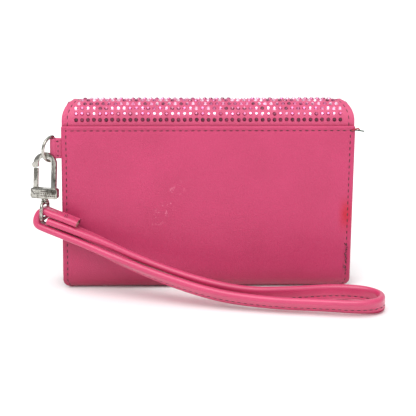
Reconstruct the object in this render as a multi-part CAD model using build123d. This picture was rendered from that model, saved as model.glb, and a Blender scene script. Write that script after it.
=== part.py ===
"""Wristlet wallet standing on its bottom fold, seen from behind along +Y. Millimetres, +Z up.

The origin is the middle of the bottom, on the surface that the wallet stands on. +X runs along the wallet and
-Y faces the viewer of the back slip pocket. The flap folds over the top and hangs down the front, on +Y. A
D-ring, a swivel snap and a folded leather wrist strap hang from a tab in the left side seam.
"""

import math
import os

from build123d import *

# ---------------------------------------------------------------- wallet body
WIDTH = 152.0
DEPTH = 24.0
POCKET_HEIGHT = 89.0
FRONT_HEIGHT = 84.0
LEATHER = 1.4
FLAP_LEATHER = 1.2
LINING = 0.6
SLIP_GAP = 0.4
FLAP_GAP = 0.5
BOTTOM_RADIUS = 6.0
CORNER_RADIUS = 5.0
SIDE_SEAM = 4.0
SEAM_INSET = 0.3
INNER_FLOOR = 8.0

# ---------------------------------------------------------------- flap
FLAP_WIDTH = 140.0
FLAP_DROP = 70.0
FLAP_CORNER = 14.0
FLAP_SHOULDER = 2.5
SHOULDER_BULGE_OUT = 0.72
SHOULDER_BULGE_UP = 0.62
HINGE_GAP = 1.4
HINGE_LIFT = 0.1
BACK_FOLD_ANGLE = 45.0
FRONT_FOLD_ANGLE = 135.0
MAGNET_RADIUS = 6.0
MAGNET_THICKNESS = 0.8
MAGNET_CLEARANCE = 0.05
MAGNET_HEIGHT = 34.0

# ---------------------------------------------------------------- inside
GUSSET_THICKNESS = 0.8
GUSSET_FOLD = 8.0
GUSSET_HEIGHT = 82.0
CARD_SHEET = 0.7
CARD_WIDTH = 124.0
CARD_TOPS = (80.0, 69.0, 58.0)
CARD_CORNER = 2.0
COIN_WALL = 0.7
COIN_DEPTH = 3.6
COIN_WIDTH = 133.0
COIN_TOP = 76.0
COIN_OFFSET = 0.4
DIVIDER_CLEARANCE = 0.15

# ---------------------------------------------------------------- zip
TAPE_THICKNESS = 0.6
TAPE_WIDTH = 1.5
ZIP_LENGTH = 122.0
TOOTH_PITCH = 2.0
TOOTH_LENGTH = 0.8
TOOTH_REACH = 1.4
TOOTH_HEIGHT = 1.2
TOOTH_START_BACK = 0.25
TOOTH_START_FRONT = 0.75
CORD_WIDTH = 0.4
STOP_LENGTH = 2.0
STOP_GAP = 0.2
SLIDER_LENGTH = 8.0
SLIDER_WIDTH = 4.8
SLIDER_WALL = 0.8
SLIDER_ROUND = 0.8
SLIDER_CLEARANCE = 0.3
BRIDGE_WIDTH = 1.2
BRIDGE_WIRE = 0.7
BRIDGE_SPAN = 3.6
BRIDGE_INSIDE = 1.5
PULLER_LENGTH = 12.0
PULLER_WIDTH = 4.6
PULLER_THICKNESS = 0.8
PULLER_EYE = 3.0
PULLER_ROUND = 1.6
PULLER_HOLE = 0.9
PULLER_HOLE_INSET = 2.4

# ---------------------------------------------------------------- tab and D-ring
TAB_HEIGHT = 10.7
TAB_CENTRE_Z = 76.8
TAB_LEATHER = 1.0
TAB_REACH = 4.0
TAB_INSERT = 7.0
TAB_CLEARANCE = 0.1
RING_WIRE = 0.8
RING_CORNER = 1.002  # corner balls this much wider than the wire, so that the union stays clean
RING_HALF_HEIGHT = 6.3
RING_DEPTH = 7.8
RING_TURN = 48.0
RING_RUNNING = 0.15

# ---------------------------------------------------------------- snap
SNAP_YAW = 14.0
SNAP_TILT = 6.8
SNAP_WIDTH = 12.0
SNAP_OPENING = 7.1
SNAP_DEPTH = 2.4
SNAP_SHOULDER = 18.0
SNAP_HOOK_END = 16.4
SNAP_SPREAD = 1.3
SNAP_HANG = RING_WIRE + 0.95
NOSE_RADIUS = 1.5
NOSE_OUT = 0.5
NOSE_RISE = 1.0
RING_CROSSING = 4.3
BLOCK_WIDTH = 14.2
BLOCK_DEPTH = 4.0
BLOCK_HEIGHT = 5.4
BLOCK_ROUND = 1.2
GATE_DEPTH = 1.8
GATE_GAP = 0.25
GATE_PIN_RADIUS = 0.5
GATE_PIN_HEIGHT = 3.2
GATE_PIN_RUNNING = 0.08
SLOT_CLEARANCE = 0.2
SLOT_FLOOR = 1.2
SLOT_REACH = 2.4
GATE_ROUND = 0.6

# ---------------------------------------------------------------- swivel
EYE_WIRE = 0.9
EYE_INSIDE_HEIGHT = 6.6
EYE_CORNER = 2.2
COLLAR_RADIUS = 2.0
COLLAR_HEIGHT = 1.2
COLLAR_GAP = 0.2
STEM_RADIUS = 0.9
HEAD_RADIUS = 1.3
HEAD_HEIGHT = 0.8
STEM_LENGTH = 2.2
SWIVEL_RUNNING = 0.1

# ---------------------------------------------------------------- wrist strap
STRAP_WIDTH = 9.4
STRAP_THICKNESS = 3.8
STRAP_ROUND = 1.2
EYE_CLEARANCE = 0.4
STRAP_ARC_STEP = 12.0
STRAP_TWIST_STEP = 8.0
# The route runs from the folded-back end, round the swivel's bar, out to the loop and back to the seam.
STRAP_ROUTE = [
    (-67.5, -19.9, 39.4), (-73.9, -18.3, 41.7), (-80.3, -16.6, 43.5), (-86.4, -15.1, 45.8),
    (-89.4, -15.4, 38.0), (-83.3, -16.9, 35.6), (-75.2, -18.8, 32.8), (-63.0, -22.3, 28.2),
    (-46.0, -28.0, 21.5), (-24.0, -34.5, 14.0), (4.0, -42.0, 7.0), (32.0, -48.0, 5.2),
    (57.0, -51.5, 5.4), (76.0, -55.0, 5.4), (87.0, -52.0, 5.3), (89.0, -43.0, 5.2),
    (81.0, -35.0, 5.2), (64.0, -33.0, 5.3), (42.0, -36.0, 5.2), (18.0, -37.0, 5.8),
    (-8.0, -32.5, 11.5), (-33.0, -26.5, 20.0), (-53.0, -22.3, 29.4), (-67.2, -20.1, 34.9),
    (-76.3, -18.2, 38.1), (-82.9, -16.5, 40.0),
]
# How far the strap's width leans up from level at each point of the route, in degrees.
STRAP_LEAN = [
    7, 7, 7, 7, 7, 7, 9, 20, 36, 46, 50, 50, 50, 56, 66, 78, 86, 88, 82, 68, 52, 36, 18, 9, 7, 7,
]

# ---------------------------------------------------------------- places that follow
BACK_FACE = -DEPTH / 2
ROOT_OUT = BACK_FACE + LEATHER + SLIP_GAP
ROOT_IN = ROOT_OUT + FLAP_LEATHER
BACK_LINING_IN = ROOT_IN + LINING
FLAP_OUT = DEPTH / 2
FLAP_IN = FLAP_OUT - FLAP_LEATHER
FLAP_LINING_IN = FLAP_IN - LINING
FRONT_OUT = FLAP_LINING_IN - FLAP_GAP
FRONT_IN = FRONT_OUT - LEATHER
FRONT_LINING_IN = FRONT_IN - LINING
ARCH_Y = (ROOT_OUT + FLAP_OUT) / 2
ARCH_RADIUS = (FLAP_OUT - ROOT_OUT) / 2
ARCH_TOP = POCKET_HEIGHT + ARCH_RADIUS
COIN_BACK = COIN_OFFSET - COIN_DEPTH / 2
COIN_FRONT = COIN_OFFSET + COIN_DEPTH / 2
TAPE_TOP = COIN_TOP + TAPE_THICKNESS
LEFT_EDGE = -WIDTH / 2
RING_X = LEFT_EDGE - TAB_REACH
RING_Y = BACK_FACE + LEATHER + TAB_LEATHER
TAB_BORE = RING_WIRE + RING_RUNNING
EYE_INSIDE_WIDTH = STRAP_WIDTH + 2 * EYE_CLEARANCE


def span(x0, x1, y0, y1, z0, z1):
    """A block between two corners."""
    return Pos((x0 + x1) / 2, (y0 + y1) / 2, (z0 + z1) / 2) * Box(x1 - x0, y1 - y0, z1 - z0)


def sheet(width, y0, y1, z0, z1):
    """A flat sheet centred on the wallet's middle."""
    return span(-width / 2, width / 2, y0, y1, z0, z1)


def upright(face_outline, y0, y1):
    """Extrude an outline drawn as X and Z from y0 to y1."""
    plane = Plane(origin=(0, y0, 0), x_dir=(1, 0, 0), z_dir=(0, -1, 0))
    return extrude(plane * face_outline, amount=-(y1 - y0))


def side_profile(face_outline, width):
    """Extrude an outline drawn as Y and Z along X, centred on the wallet."""
    plane = Plane(origin=(-width / 2, 0, 0), x_dir=(0, 1, 0), z_dir=(1, 0, 0))
    return extrude(plane * face_outline, amount=width)


def rounded_plate(width, bottom, top, radius):
    """An X and Z outline with rounded lower corners."""
    block = Pos(0, (bottom + top) / 2) * Rectangle(width, top - bottom)
    lower = block.vertices().sort_by(Axis.Y)[:2]
    return fillet(lower, radius)


def magnet_at(y0, y1, extra=0.0):
    """A magnet disc, or with extra its recess, facing along Y."""
    plane = Plane(origin=(0, y0, MAGNET_HEIGHT), x_dir=(1, 0, 0), z_dir=(0, 1, 0))
    return extrude(plane * Circle(MAGNET_RADIUS + extra), amount=y1 - y0)


# ---------------------------------------------------------------- body pieces


def outer_wrap():
    """Back slip pocket, folded bottom and front panel, cut from one leather sheet."""
    mid = (BACK_FACE + FRONT_OUT) / 2
    tall = max(POCKET_HEIGHT, FRONT_HEIGHT)
    outside = Pos(mid, tall / 2) * Rectangle(FRONT_OUT - BACK_FACE, tall)
    outside = fillet(outside.vertices().sort_by(Axis.Y)[:2], BOTTOM_RADIUS)
    inside_height = tall + 2 * LEATHER
    inside = Pos(mid, LEATHER + inside_height / 2) * Rectangle(
        FRONT_OUT - BACK_FACE - 2 * LEATHER, inside_height
    )
    inside = fillet(inside.vertices().sort_by(Axis.Y)[:2], BOTTOM_RADIUS - LEATHER)
    wrap = side_profile(outside - inside, WIDTH)
    wrap &= upright(rounded_plate(WIDTH, 0, tall, CORNER_RADIUS), BACK_FACE, FRONT_OUT)
    wrap -= sheet(WIDTH * 2, 0, FLAP_OUT, FRONT_HEIGHT, tall * 2)
    recess = MAGNET_THICKNESS + MAGNET_CLEARANCE
    return wrap - magnet_at(FRONT_IN, FRONT_IN + recess, MAGNET_CLEARANCE)


def tab_notch():
    """The place that the tab's inner end takes in the back panel and its lining."""
    half = TAB_HEIGHT / 2 + TAB_CLEARANCE
    inner = LEFT_EDGE + TAB_INSERT + TAB_CLEARANCE
    bottom, top = TAB_CENTRE_Z - half, TAB_CENTRE_Z + half
    return span(LEFT_EDGE - 1, inner, BACK_FACE, BACK_LINING_IN + 1, bottom, top)


def arch_sector(outer, inner, start, end, width):
    """A stretch of the flap's arch, from start to end degrees around it, back to front."""

    def rim(radius, angle):
        turn = math.radians(angle)
        return (ARCH_Y - radius * math.cos(turn), POCKET_HEIGHT + radius * math.sin(turn))

    middle = (start + end) / 2
    outline = [
        ThreePointArc(rim(outer, start), rim(outer, middle), rim(outer, end)),
        Line(rim(outer, end), rim(inner, end)),
        ThreePointArc(rim(inner, end), rim(inner, middle), rim(inner, start)),
        Line(rim(inner, start), rim(outer, start)),
    ]
    return side_profile(make_face(outline), width)


def shoulder_trim(half_width):
    """The flap's plan: full width at the pocket edge, drawn in to the flap's width over the top."""
    half_flap = FLAP_WIDTH / 2
    start = (half_width, POCKET_HEIGHT + FLAP_SHOULDER)
    end = (half_flap, ARCH_TOP - FLAP_SHOULDER / 2)
    bulge = (
        half_flap + (half_width - half_flap) * SHOULDER_BULGE_OUT,
        start[1] + (end[1] - start[1]) * SHOULDER_BULGE_UP,
    )
    above = ARCH_TOP * 1.1
    right = [
        Line((0, 0), (half_width, 0)),
        Line((half_width, 0), start),
        ThreePointArc(start, bulge, end),
        Line(end, (half_flap, above)),
        Line((half_flap, above), (0, above)),
        Line((0, above), (0, 0)),
    ]
    half = upright(make_face(right), BACK_FACE, ARCH_Y)
    return half + mirror(half, about=Plane.YZ) + sheet(FLAP_WIDTH, ARCH_Y, DEPTH, 0, above)


def back_panel():
    """The flap's root inside the slip pocket, with the first stretch of the fold over the top."""
    half_width = WIDTH / 2 - SEAM_INSET
    panel = sheet(2 * half_width, ROOT_OUT, ROOT_IN, INNER_FLOOR, POCKET_HEIGHT)
    panel += arch_sector(
        ARCH_RADIUS, ARCH_RADIUS - FLAP_LEATHER, 0, BACK_FOLD_ANGLE - HINGE_GAP, 2 * half_width
    )
    for x0 in (-half_width, half_width - SIDE_SEAM):
        top = POCKET_HEIGHT - LEATHER
        panel += span(x0, x0 + SIDE_SEAM, ROOT_OUT - SLIP_GAP, ROOT_OUT, INNER_FLOOR, top)
    return (panel & shoulder_trim(half_width)) - tab_notch()


def back_lining():
    """Lining of the back panel, up into the arch."""
    half_width = WIDTH / 2 - 2 * SEAM_INSET
    panel = sheet(2 * half_width, ROOT_IN, BACK_LINING_IN, INNER_FLOOR, POCKET_HEIGHT)
    panel += arch_sector(
        ARCH_RADIUS - FLAP_LEATHER,
        ARCH_RADIUS - FLAP_LEATHER - LINING,
        0,
        BACK_FOLD_ANGLE - HINGE_GAP,
        2 * half_width,
    )
    return (panel & shoulder_trim(half_width)) - tab_notch()


def front_lining():
    """Lining of the front panel, over the hidden magnet."""
    return sheet(
        WIDTH - 2 * SEAM_INSET, FRONT_LINING_IN, FRONT_IN, INNER_FLOOR, FRONT_HEIGHT - LEATHER
    )


def gusset_places():
    """A gusset's outer and inner middles in X, its half width in X, and its fold rows in Y."""
    rows = [BACK_LINING_IN, 0, COIN_OFFSET, 0, FRONT_LINING_IN]
    rows[1] = (rows[0] + rows[2]) / 2
    rows[3] = (rows[2] + rows[4]) / 2
    slant = math.hypot(GUSSET_FOLD, rows[2] - rows[1])
    half = GUSSET_THICKNESS / 2 * slant / (rows[2] - rows[1])
    outer = WIDTH / 2 - SEAM_INSET - half
    return outer, outer - GUSSET_FOLD, half, rows


def gusset(side):
    """A side gusset with two inward folds, between the back lining and the front lining."""
    outer, inner, half, rows = gusset_places()
    middles = [side * x for x in (outer, inner, outer, inner, outer)]
    folds = list(zip(middles, rows))
    loop = [(x - half, y) for x, y in folds] + [(x + half, y) for x, y in reversed(folds)]
    plane = Plane.XY.offset(INNER_FLOOR)
    return extrude(plane * make_face(Polyline(*loop, close=True)), amount=GUSSET_HEIGHT - INNER_FLOOR)


def card_slot(index):
    """One of the stepped card slots on the back lining, numbered from the tallest."""
    y0 = BACK_LINING_IN + index * CARD_SHEET
    plate = rounded_plate(CARD_WIDTH, INNER_FLOOR, CARD_TOPS[index], CARD_CORNER)
    return upright(plate, y0, y0 + CARD_SHEET)


def coin_pocket():
    """The middle bag under the zip, with a flange at each side that is sewn into the gusset's fold."""
    bag = sheet(COIN_WIDTH, COIN_BACK, COIN_FRONT, INNER_FLOOR, COIN_TOP)
    bag -= sheet(
        COIN_WIDTH - 2 * COIN_WALL,
        COIN_BACK + COIN_WALL,
        COIN_FRONT - COIN_WALL,
        INNER_FLOOR + COIN_WALL,
        COIN_TOP + 1,
    )
    half = COIN_WALL / 2
    outer, inner, gusset_half, rows = gusset_places()
    slope = (outer - inner) / (rows[2] - rows[1])
    reach = outer - gusset_half - half * slope - DIVIDER_CLEARANCE
    for x0, x1 in ((-reach, -COIN_WIDTH / 2), (COIN_WIDTH / 2, reach)):
        bag += span(x0, x1, COIN_OFFSET - half, COIN_OFFSET + half, INNER_FLOOR, COIN_TOP)
    return bag


# ---------------------------------------------------------------- zip pieces


def zip_tape(side):
    """A tape on the bag's top edge. Side -1 is the back, +1 the front."""
    edge = COIN_OFFSET + side * COIN_DEPTH / 2
    y0, y1 = sorted((edge, edge - side * TAPE_WIDTH))
    return sheet(COIN_WIDTH, y0, y1, COIN_TOP, TAPE_TOP)


def zip_teeth(side):
    """A row of teeth on its cord, meshed with the row of the other side."""
    cord_out = side * (TOOTH_REACH / 2 + 2 * CORD_WIDTH)
    cord_in = cord_out - side * CORD_WIDTH
    y0, y1 = sorted((COIN_OFFSET + cord_out, COIN_OFFSET + cord_in))
    row = sheet(ZIP_LENGTH, y0, y1, TAPE_TOP, TAPE_TOP + TOOTH_HEIGHT)
    tip = COIN_OFFSET - side * TOOTH_REACH / 2
    y0, y1 = sorted((COIN_OFFSET + cord_in, tip))
    count = int(ZIP_LENGTH / TOOTH_PITCH) - 1
    first = -ZIP_LENGTH / 2 + TOOTH_PITCH * (TOOTH_START_FRONT if side > 0 else TOOTH_START_BACK)
    teeth = [
        span(x, x + TOOTH_LENGTH, y0, y1, TAPE_TOP, TAPE_TOP + TOOTH_HEIGHT)
        for x in (first + TOOTH_PITCH * i for i in range(count))
    ]
    return row + teeth


def zip_stop(end):
    """A crimped metal stop. End -1 is the closed end, +1 the far end."""
    near = ZIP_LENGTH / 2 + STOP_GAP
    x0, x1 = sorted((end * near, end * (near + STOP_LENGTH)))
    half = TOOTH_REACH / 2 + 2 * CORD_WIDTH
    return span(x0, x1, COIN_OFFSET - half, COIN_OFFSET + half, TAPE_TOP, TAPE_TOP + TOOTH_HEIGHT)


SLIDER_X = -ZIP_LENGTH / 2 + SLIDER_LENGTH / 2
SLIDER_FLOOR = TAPE_TOP + SLIDER_CLEARANCE
SLIDER_TOP = TAPE_TOP + TOOTH_HEIGHT + SLIDER_CLEARANCE + SLIDER_WALL
BRIDGE_AXIS_Z = SLIDER_TOP + BRIDGE_INSIDE / 2


def zip_slider():
    """Slider body over the teeth, with the bridge that holds the puller."""
    x0, x1 = SLIDER_X - SLIDER_LENGTH / 2, SLIDER_X + SLIDER_LENGTH / 2
    half = SLIDER_WIDTH / 2
    body = span(x0, x1, COIN_OFFSET - half, COIN_OFFSET + half, SLIDER_FLOOR, SLIDER_TOP)
    body = fillet(body.edges().filter_by(Axis.Z), SLIDER_ROUND)
    channel = TOOTH_REACH / 2 + 2 * CORD_WIDTH + SLIDER_CLEARANCE
    body -= span(
        x0 - 1,
        x1 + 1,
        COIN_OFFSET - channel,
        COIN_OFFSET + channel,
        SLIDER_FLOOR - 1,
        SLIDER_TOP - SLIDER_WALL,
    )
    span_half = BRIDGE_SPAN / 2
    outer_top = SLIDER_TOP + BRIDGE_INSIDE + BRIDGE_WIRE
    bridge = span(
        SLIDER_X - span_half,
        SLIDER_X + span_half,
        COIN_OFFSET - BRIDGE_WIDTH / 2,
        COIN_OFFSET + BRIDGE_WIDTH / 2,
        SLIDER_TOP,
        outer_top,
    )
    bridge -= span(
        SLIDER_X - span_half + BRIDGE_WIRE,
        SLIDER_X + span_half - BRIDGE_WIRE,
        COIN_OFFSET - BRIDGE_WIDTH,
        COIN_OFFSET + BRIDGE_WIDTH,
        SLIDER_TOP,
        SLIDER_TOP + BRIDGE_INSIDE,
    )
    return body + bridge


def zip_puller():
    """Flat pull tab whose round end bar passes under the slider's bridge. It lies along the zip."""
    bar = PULLER_THICKNESS / 2
    eye = BRIDGE_WIDTH / 2 + SLIDER_CLEARANCE
    plate = span(
        SLIDER_X - PULLER_LENGTH,
        SLIDER_X,
        COIN_OFFSET - PULLER_WIDTH / 2,
        COIN_OFFSET + PULLER_WIDTH / 2,
        BRIDGE_AXIS_Z - bar,
        BRIDGE_AXIS_Z + bar,
    )
    plate = fillet(plate.edges().filter_by(Axis.Z).sort_by(Axis.X)[:2], PULLER_ROUND)
    plate -= span(
        SLIDER_X - PULLER_EYE,
        SLIDER_X + 1,
        COIN_OFFSET - eye,
        COIN_OFFSET + eye,
        BRIDGE_AXIS_Z - 1,
        BRIDGE_AXIS_Z + 1,
    )
    hole_x = SLIDER_X - PULLER_LENGTH + PULLER_HOLE_INSET
    hole = Plane(origin=(hole_x, COIN_OFFSET, BRIDGE_AXIS_Z - 1), z_dir=(0, 0, 1))
    plate -= extrude(hole * Circle(PULLER_HOLE), amount=2)
    barrel = Plane(
        origin=(SLIDER_X, COIN_OFFSET - PULLER_WIDTH / 2, BRIDGE_AXIS_Z),
        x_dir=(1, 0, 0),
        z_dir=(0, 1, 0),
    )
    return plate + extrude(barrel * Circle(bar), amount=PULLER_WIDTH)


# ---------------------------------------------------------------- flap pieces


def flap_spine():
    """Leather over the wallet's top, between the two fold lines."""
    leather = arch_sector(
        ARCH_RADIUS,
        ARCH_RADIUS - FLAP_LEATHER,
        BACK_FOLD_ANGLE + HINGE_GAP,
        FRONT_FOLD_ANGLE - HINGE_GAP,
        WIDTH,
    )
    return leather & shoulder_trim(WIDTH / 2 - SEAM_INSET)


def spine_lining():
    """Lining under the top of the flap."""
    lining = arch_sector(
        ARCH_RADIUS - FLAP_LEATHER,
        ARCH_RADIUS - FLAP_LEATHER - LINING,
        BACK_FOLD_ANGLE + HINGE_GAP,
        FRONT_FOLD_ANGLE - HINGE_GAP,
        WIDTH,
    )
    return lining & shoulder_trim(WIDTH / 2 - SEAM_INSET)


def flap_sheet(outer_y, inner_y, width, inset):
    """The front of the flap: the last stretch of the arch and the straight drop."""
    outline = rounded_plate(
        width, POCKET_HEIGHT - FLAP_DROP + inset, POCKET_HEIGHT, FLAP_CORNER - inset
    )
    drop = upright(outline, inner_y, outer_y)
    return drop + arch_sector(
        outer_y - ARCH_Y, inner_y - ARCH_Y, FRONT_FOLD_ANGLE + HINGE_GAP, 180, width
    )


def flap_front():
    """Outer leather of the flap, recessed from inside for the magnet."""
    leather = flap_sheet(FLAP_OUT, FLAP_IN, FLAP_WIDTH, 0)
    recess = MAGNET_THICKNESS + MAGNET_CLEARANCE
    return leather - magnet_at(FLAP_IN, FLAP_IN + recess, MAGNET_CLEARANCE)


def flap_lining():
    """Lining of the flap's front."""
    return flap_sheet(FLAP_IN, FLAP_LINING_IN, FLAP_WIDTH - 2 * SEAM_INSET, SEAM_INSET)


# ---------------------------------------------------------------- tab and D-ring


def strap_tab():
    """Leather loop round the D-ring's bar, its two plies sewn into the left side seam."""
    bottom = TAB_CENTRE_Z - TAB_HEIGHT / 2
    plane = Plane(origin=(0, 0, bottom))
    outer = TAB_BORE + TAB_LEATHER
    neck_half = TAB_LEATHER
    inner_end = LEFT_EDGE + TAB_INSERT
    neck = Pos((RING_X + inner_end) / 2, RING_Y) * Rectangle(inner_end - RING_X, 2 * neck_half)
    section = Pos(RING_X, RING_Y) * Circle(outer) + neck - Pos(RING_X, RING_Y) * Circle(TAB_BORE)
    return extrude(plane * section, amount=TAB_HEIGHT)


def ring_arc_radius():
    """Radius of the D-ring's round side."""
    return (RING_HALF_HEIGHT**2 + RING_DEPTH**2) / (2 * RING_DEPTH)


RING_OUT = Vector(-math.cos(math.radians(RING_TURN)), -math.sin(math.radians(RING_TURN)), 0)


def ring_point(reach, height):
    """A point of the D-ring's plane: reach out from the bar, height above its middle."""
    return Vector(RING_X, RING_Y, TAB_CENTRE_Z) + RING_OUT * reach + Vector(0, 0, height)


def d_ring():
    """Bent wire ring with a straight bar in the tab."""
    low, high = ring_point(0, -RING_HALF_HEIGHT), ring_point(0, RING_HALF_HEIGHT)
    bar_plane = Plane(origin=low, z_dir=(0, 0, 1))
    bar = extrude(bar_plane * Circle(RING_WIRE), amount=2 * RING_HALF_HEIGHT)
    radius = ring_arc_radius()
    middle = ring_point(RING_DEPTH - radius, 0)
    half_turn = math.degrees(math.atan2(RING_HALF_HEIGHT, RING_DEPTH - radius))
    around = Axis(middle, RING_OUT.cross(Vector(0, 0, 1)))
    start = Plane(origin=low, z_dir=around.direction.cross(low - middle))
    bow = revolve(start * Circle(RING_WIRE), axis=around, revolution_arc=2 * (180 - half_turn))
    ball = Sphere(RING_WIRE * RING_CORNER)
    return bar + [Pos(*low) * ball, Pos(*high) * ball] + bow


# ---------------------------------------------------------------- snap, in its own hanging frame

SNAP_X = Vector(math.cos(math.radians(SNAP_YAW)), -math.sin(math.radians(SNAP_YAW)), 0)
SNAP_FRONT = Vector(-math.sin(math.radians(SNAP_YAW)), -math.cos(math.radians(SNAP_YAW)), 0)
SNAP_UP = Vector(0, 0, math.cos(math.radians(SNAP_TILT))) - SNAP_FRONT * math.sin(
    math.radians(SNAP_TILT)
)
HOOK_RADIUS = SNAP_WIDTH / 2
HOOK_INSIDE = SNAP_OPENING / 2
SNAP_INNER_TOP = SNAP_SHOULDER + HOOK_INSIDE


def crossing_point():
    """Where the D-ring's wire runs through the snap's hook."""
    radius = ring_arc_radius()
    drop = math.sqrt(radius**2 - (RING_CROSSING - (RING_DEPTH - radius)) ** 2)
    return ring_point(RING_CROSSING, -drop)


SNAP_ORIGIN = crossing_point() - SNAP_X * SNAP_SPREAD - SNAP_UP * (SNAP_INNER_TOP - SNAP_HANG)
SNAP_PLANE = Plane(origin=SNAP_ORIGIN, x_dir=SNAP_X, z_dir=SNAP_UP)


def hang(shape):
    """Place a shape from the snap's frame, where Z is up the snap and -Y is its front."""
    return SNAP_PLANE.location * shape


def snap_bar_x():
    """Middle of the gate's side of the opening."""
    return -(HOOK_RADIUS + HOOK_INSIDE) / 2


def snap_frame():
    """Fixed side, hook and base block of the snap, slotted for the gate and bored for the swivel."""
    hook = Pos(0, SNAP_SHOULDER) * Circle(HOOK_RADIUS)
    hook += Pos(0, SNAP_SHOULDER / 2) * Rectangle(SNAP_WIDTH, SNAP_SHOULDER)
    hook -= Pos(0, SNAP_SHOULDER) * Circle(HOOK_INSIDE)
    hook -= Pos(0, SNAP_SHOULDER / 2) * Rectangle(SNAP_OPENING, SNAP_SHOULDER)
    hook -= Pos(-HOOK_RADIUS, SNAP_HOOK_END / 2) * Rectangle(SNAP_WIDTH, SNAP_HOOK_END)
    frame = upright(hook, -SNAP_DEPTH / 2, SNAP_DEPTH / 2)
    nose = Pos(snap_bar_x() - NOSE_OUT, SNAP_HOOK_END + NOSE_RISE) * Circle(NOSE_RADIUS)
    frame += upright(nose, -SNAP_DEPTH / 2, SNAP_DEPTH / 2)
    block = Pos(0, 0, BLOCK_HEIGHT / 2) * Box(BLOCK_WIDTH, BLOCK_DEPTH, BLOCK_HEIGHT)
    block = fillet(block.edges().filter_by(Axis.Y), BLOCK_ROUND)
    frame += block
    slot_half = GATE_DEPTH / 2 + SLOT_CLEARANCE
    slot_right = -HOOK_INSIDE + SLOT_REACH
    frame -= span(-BLOCK_WIDTH, slot_right, -slot_half, slot_half, SLOT_FLOOR, BLOCK_HEIGHT + 1)
    frame -= gate_pin_shape(GATE_PIN_RADIUS, BLOCK_DEPTH + 2)
    collar_room = Pos(0, 0, -1) * Cylinder(
        STEM_RADIUS + SWIVEL_RUNNING, STEM_LENGTH + 2, align=(Align.CENTER, Align.CENTER, Align.MIN)
    )
    head_room = Pos(0, 0, STEM_LENGTH - HEAD_HEIGHT - SWIVEL_RUNNING) * Cylinder(
        HEAD_RADIUS + SWIVEL_RUNNING,
        HEAD_HEIGHT + 3 * SWIVEL_RUNNING,
        align=(Align.CENTER, Align.CENTER, Align.MIN),
    )
    return hang(frame - collar_room - head_room)


def gate_pin_shape(radius, length):
    """The gate's pin, or its hole, through the block from front to back."""
    plane = Plane(
        origin=(snap_bar_x(), -length / 2, GATE_PIN_HEIGHT), x_dir=(1, 0, 0), z_dir=(0, 1, 0)
    )
    return extrude(plane * Circle(radius), amount=length)


def gate_pin():
    """Pin that the gate turns on."""
    return hang(gate_pin_shape(GATE_PIN_RADIUS, BLOCK_DEPTH))


def snap_gate():
    """Sprung side of the snap, from its foot in the block up to the hook's nose."""
    half = (HOOK_RADIUS - HOOK_INSIDE) / 2
    top = SNAP_HOOK_END + NOSE_RISE - NOSE_RADIUS - GATE_GAP
    foot = GATE_PIN_HEIGHT
    lever = Pos(snap_bar_x(), (foot + top) / 2) * Rectangle(2 * half, top - foot)
    lever = fillet(lever.vertices().sort_by(Axis.Y)[-2:], GATE_ROUND)
    lever += Pos(snap_bar_x(), foot) * Circle(half)
    lever -= Pos(snap_bar_x(), foot) * Circle(GATE_PIN_RADIUS + GATE_PIN_RUNNING)
    return hang(upright(lever, -GATE_DEPTH / 2, GATE_DEPTH / 2))


def eye_heights():
    """Heights of the swivel eye's top and bottom bars in the snap's frame."""
    top = -(COLLAR_GAP + COLLAR_HEIGHT + EYE_WIRE)
    return top, top - EYE_INSIDE_HEIGHT - 2 * EYE_WIRE


def swivel_eye():
    """Wide wire eye for the strap, with its collar, stem and head in the block."""
    top, bottom = eye_heights()
    half = EYE_INSIDE_WIDTH / 2 + EYE_WIRE
    corners = [(0, -half, bottom), (0, half, bottom), (0, half, top), (0, -half, top)]
    loop = FilletPolyline(*corners, radius=EYE_CORNER, close=True)
    start = Plane(origin=loop @ 0, z_dir=loop % 0)
    wire = sweep(start * Circle(EYE_WIRE), path=loop)
    grow_up = (Align.CENTER, Align.CENTER, Align.MIN)
    collar = Pos(0, 0, top) * Cylinder(COLLAR_RADIUS, -COLLAR_GAP - top, align=grow_up)
    stem = Pos(0, 0, top) * Cylinder(STEM_RADIUS, STEM_LENGTH - top, align=grow_up)
    head = Pos(0, 0, STEM_LENGTH - HEAD_HEIGHT) * Cylinder(HEAD_RADIUS, HEAD_HEIGHT, align=grow_up)
    return hang(wire + collar + stem + head)


# ---------------------------------------------------------------- wrist strap


def corner_radii(points):
    """The largest arc that each corner's two runs allow: 0.45 of the shorter run over tan(half turn)."""
    radii = []
    for before, corner, after in zip(points, points[1:], points[2:]):
        turn = math.radians((corner - before).get_angle(after - corner))
        run = min((corner - before).length, (after - corner).length)
        radii.append(0.45 * run / math.tan(turn / 2))
    return radii


def strap_section(centre, tangent, lean):
    """Corners of the strap's bevelled section at one place of its route."""
    turn = math.radians(lean)
    wide = SNAP_FRONT * math.cos(turn) + Vector(0, 0, math.sin(turn))
    wide = (wide - tangent * wide.dot(tangent)).normalized()
    thick = tangent.cross(wide)
    w, t, r = STRAP_WIDTH / 2, STRAP_THICKNESS / 2, STRAP_ROUND
    upper = [(w, t - r), (w - r, t), (r - w, t), (-w, t - r)]
    outline = upper + [(-a, -b) for a, b in upper]
    return [centre + wide * a + thick * b for a, b in outline]


def strap_stations(points):
    """Places along the runs and arcs, each with its tangent and lean."""
    path = FilletPolyline(*points, radius=corner_radii(points))
    stations = []
    for index, edge in enumerate(path.edges()):
        corner = index // 2
        if index % 2:
            first = last = STRAP_LEAN[corner + 1]
            turn = (edge % 0).get_angle(edge % 1)
            steps = max(1, math.ceil(turn / STRAP_ARC_STEP))
        else:
            first, last = STRAP_LEAN[corner], STRAP_LEAN[corner + 1]
            steps = max(1, math.ceil(abs(last - first) / STRAP_TWIST_STEP))
        for step in range(0 if index == 0 else 1, steps + 1):
            share = step / steps
            stations.append((edge @ share, edge % share, first + (last - first) * share))
    return stations


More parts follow.
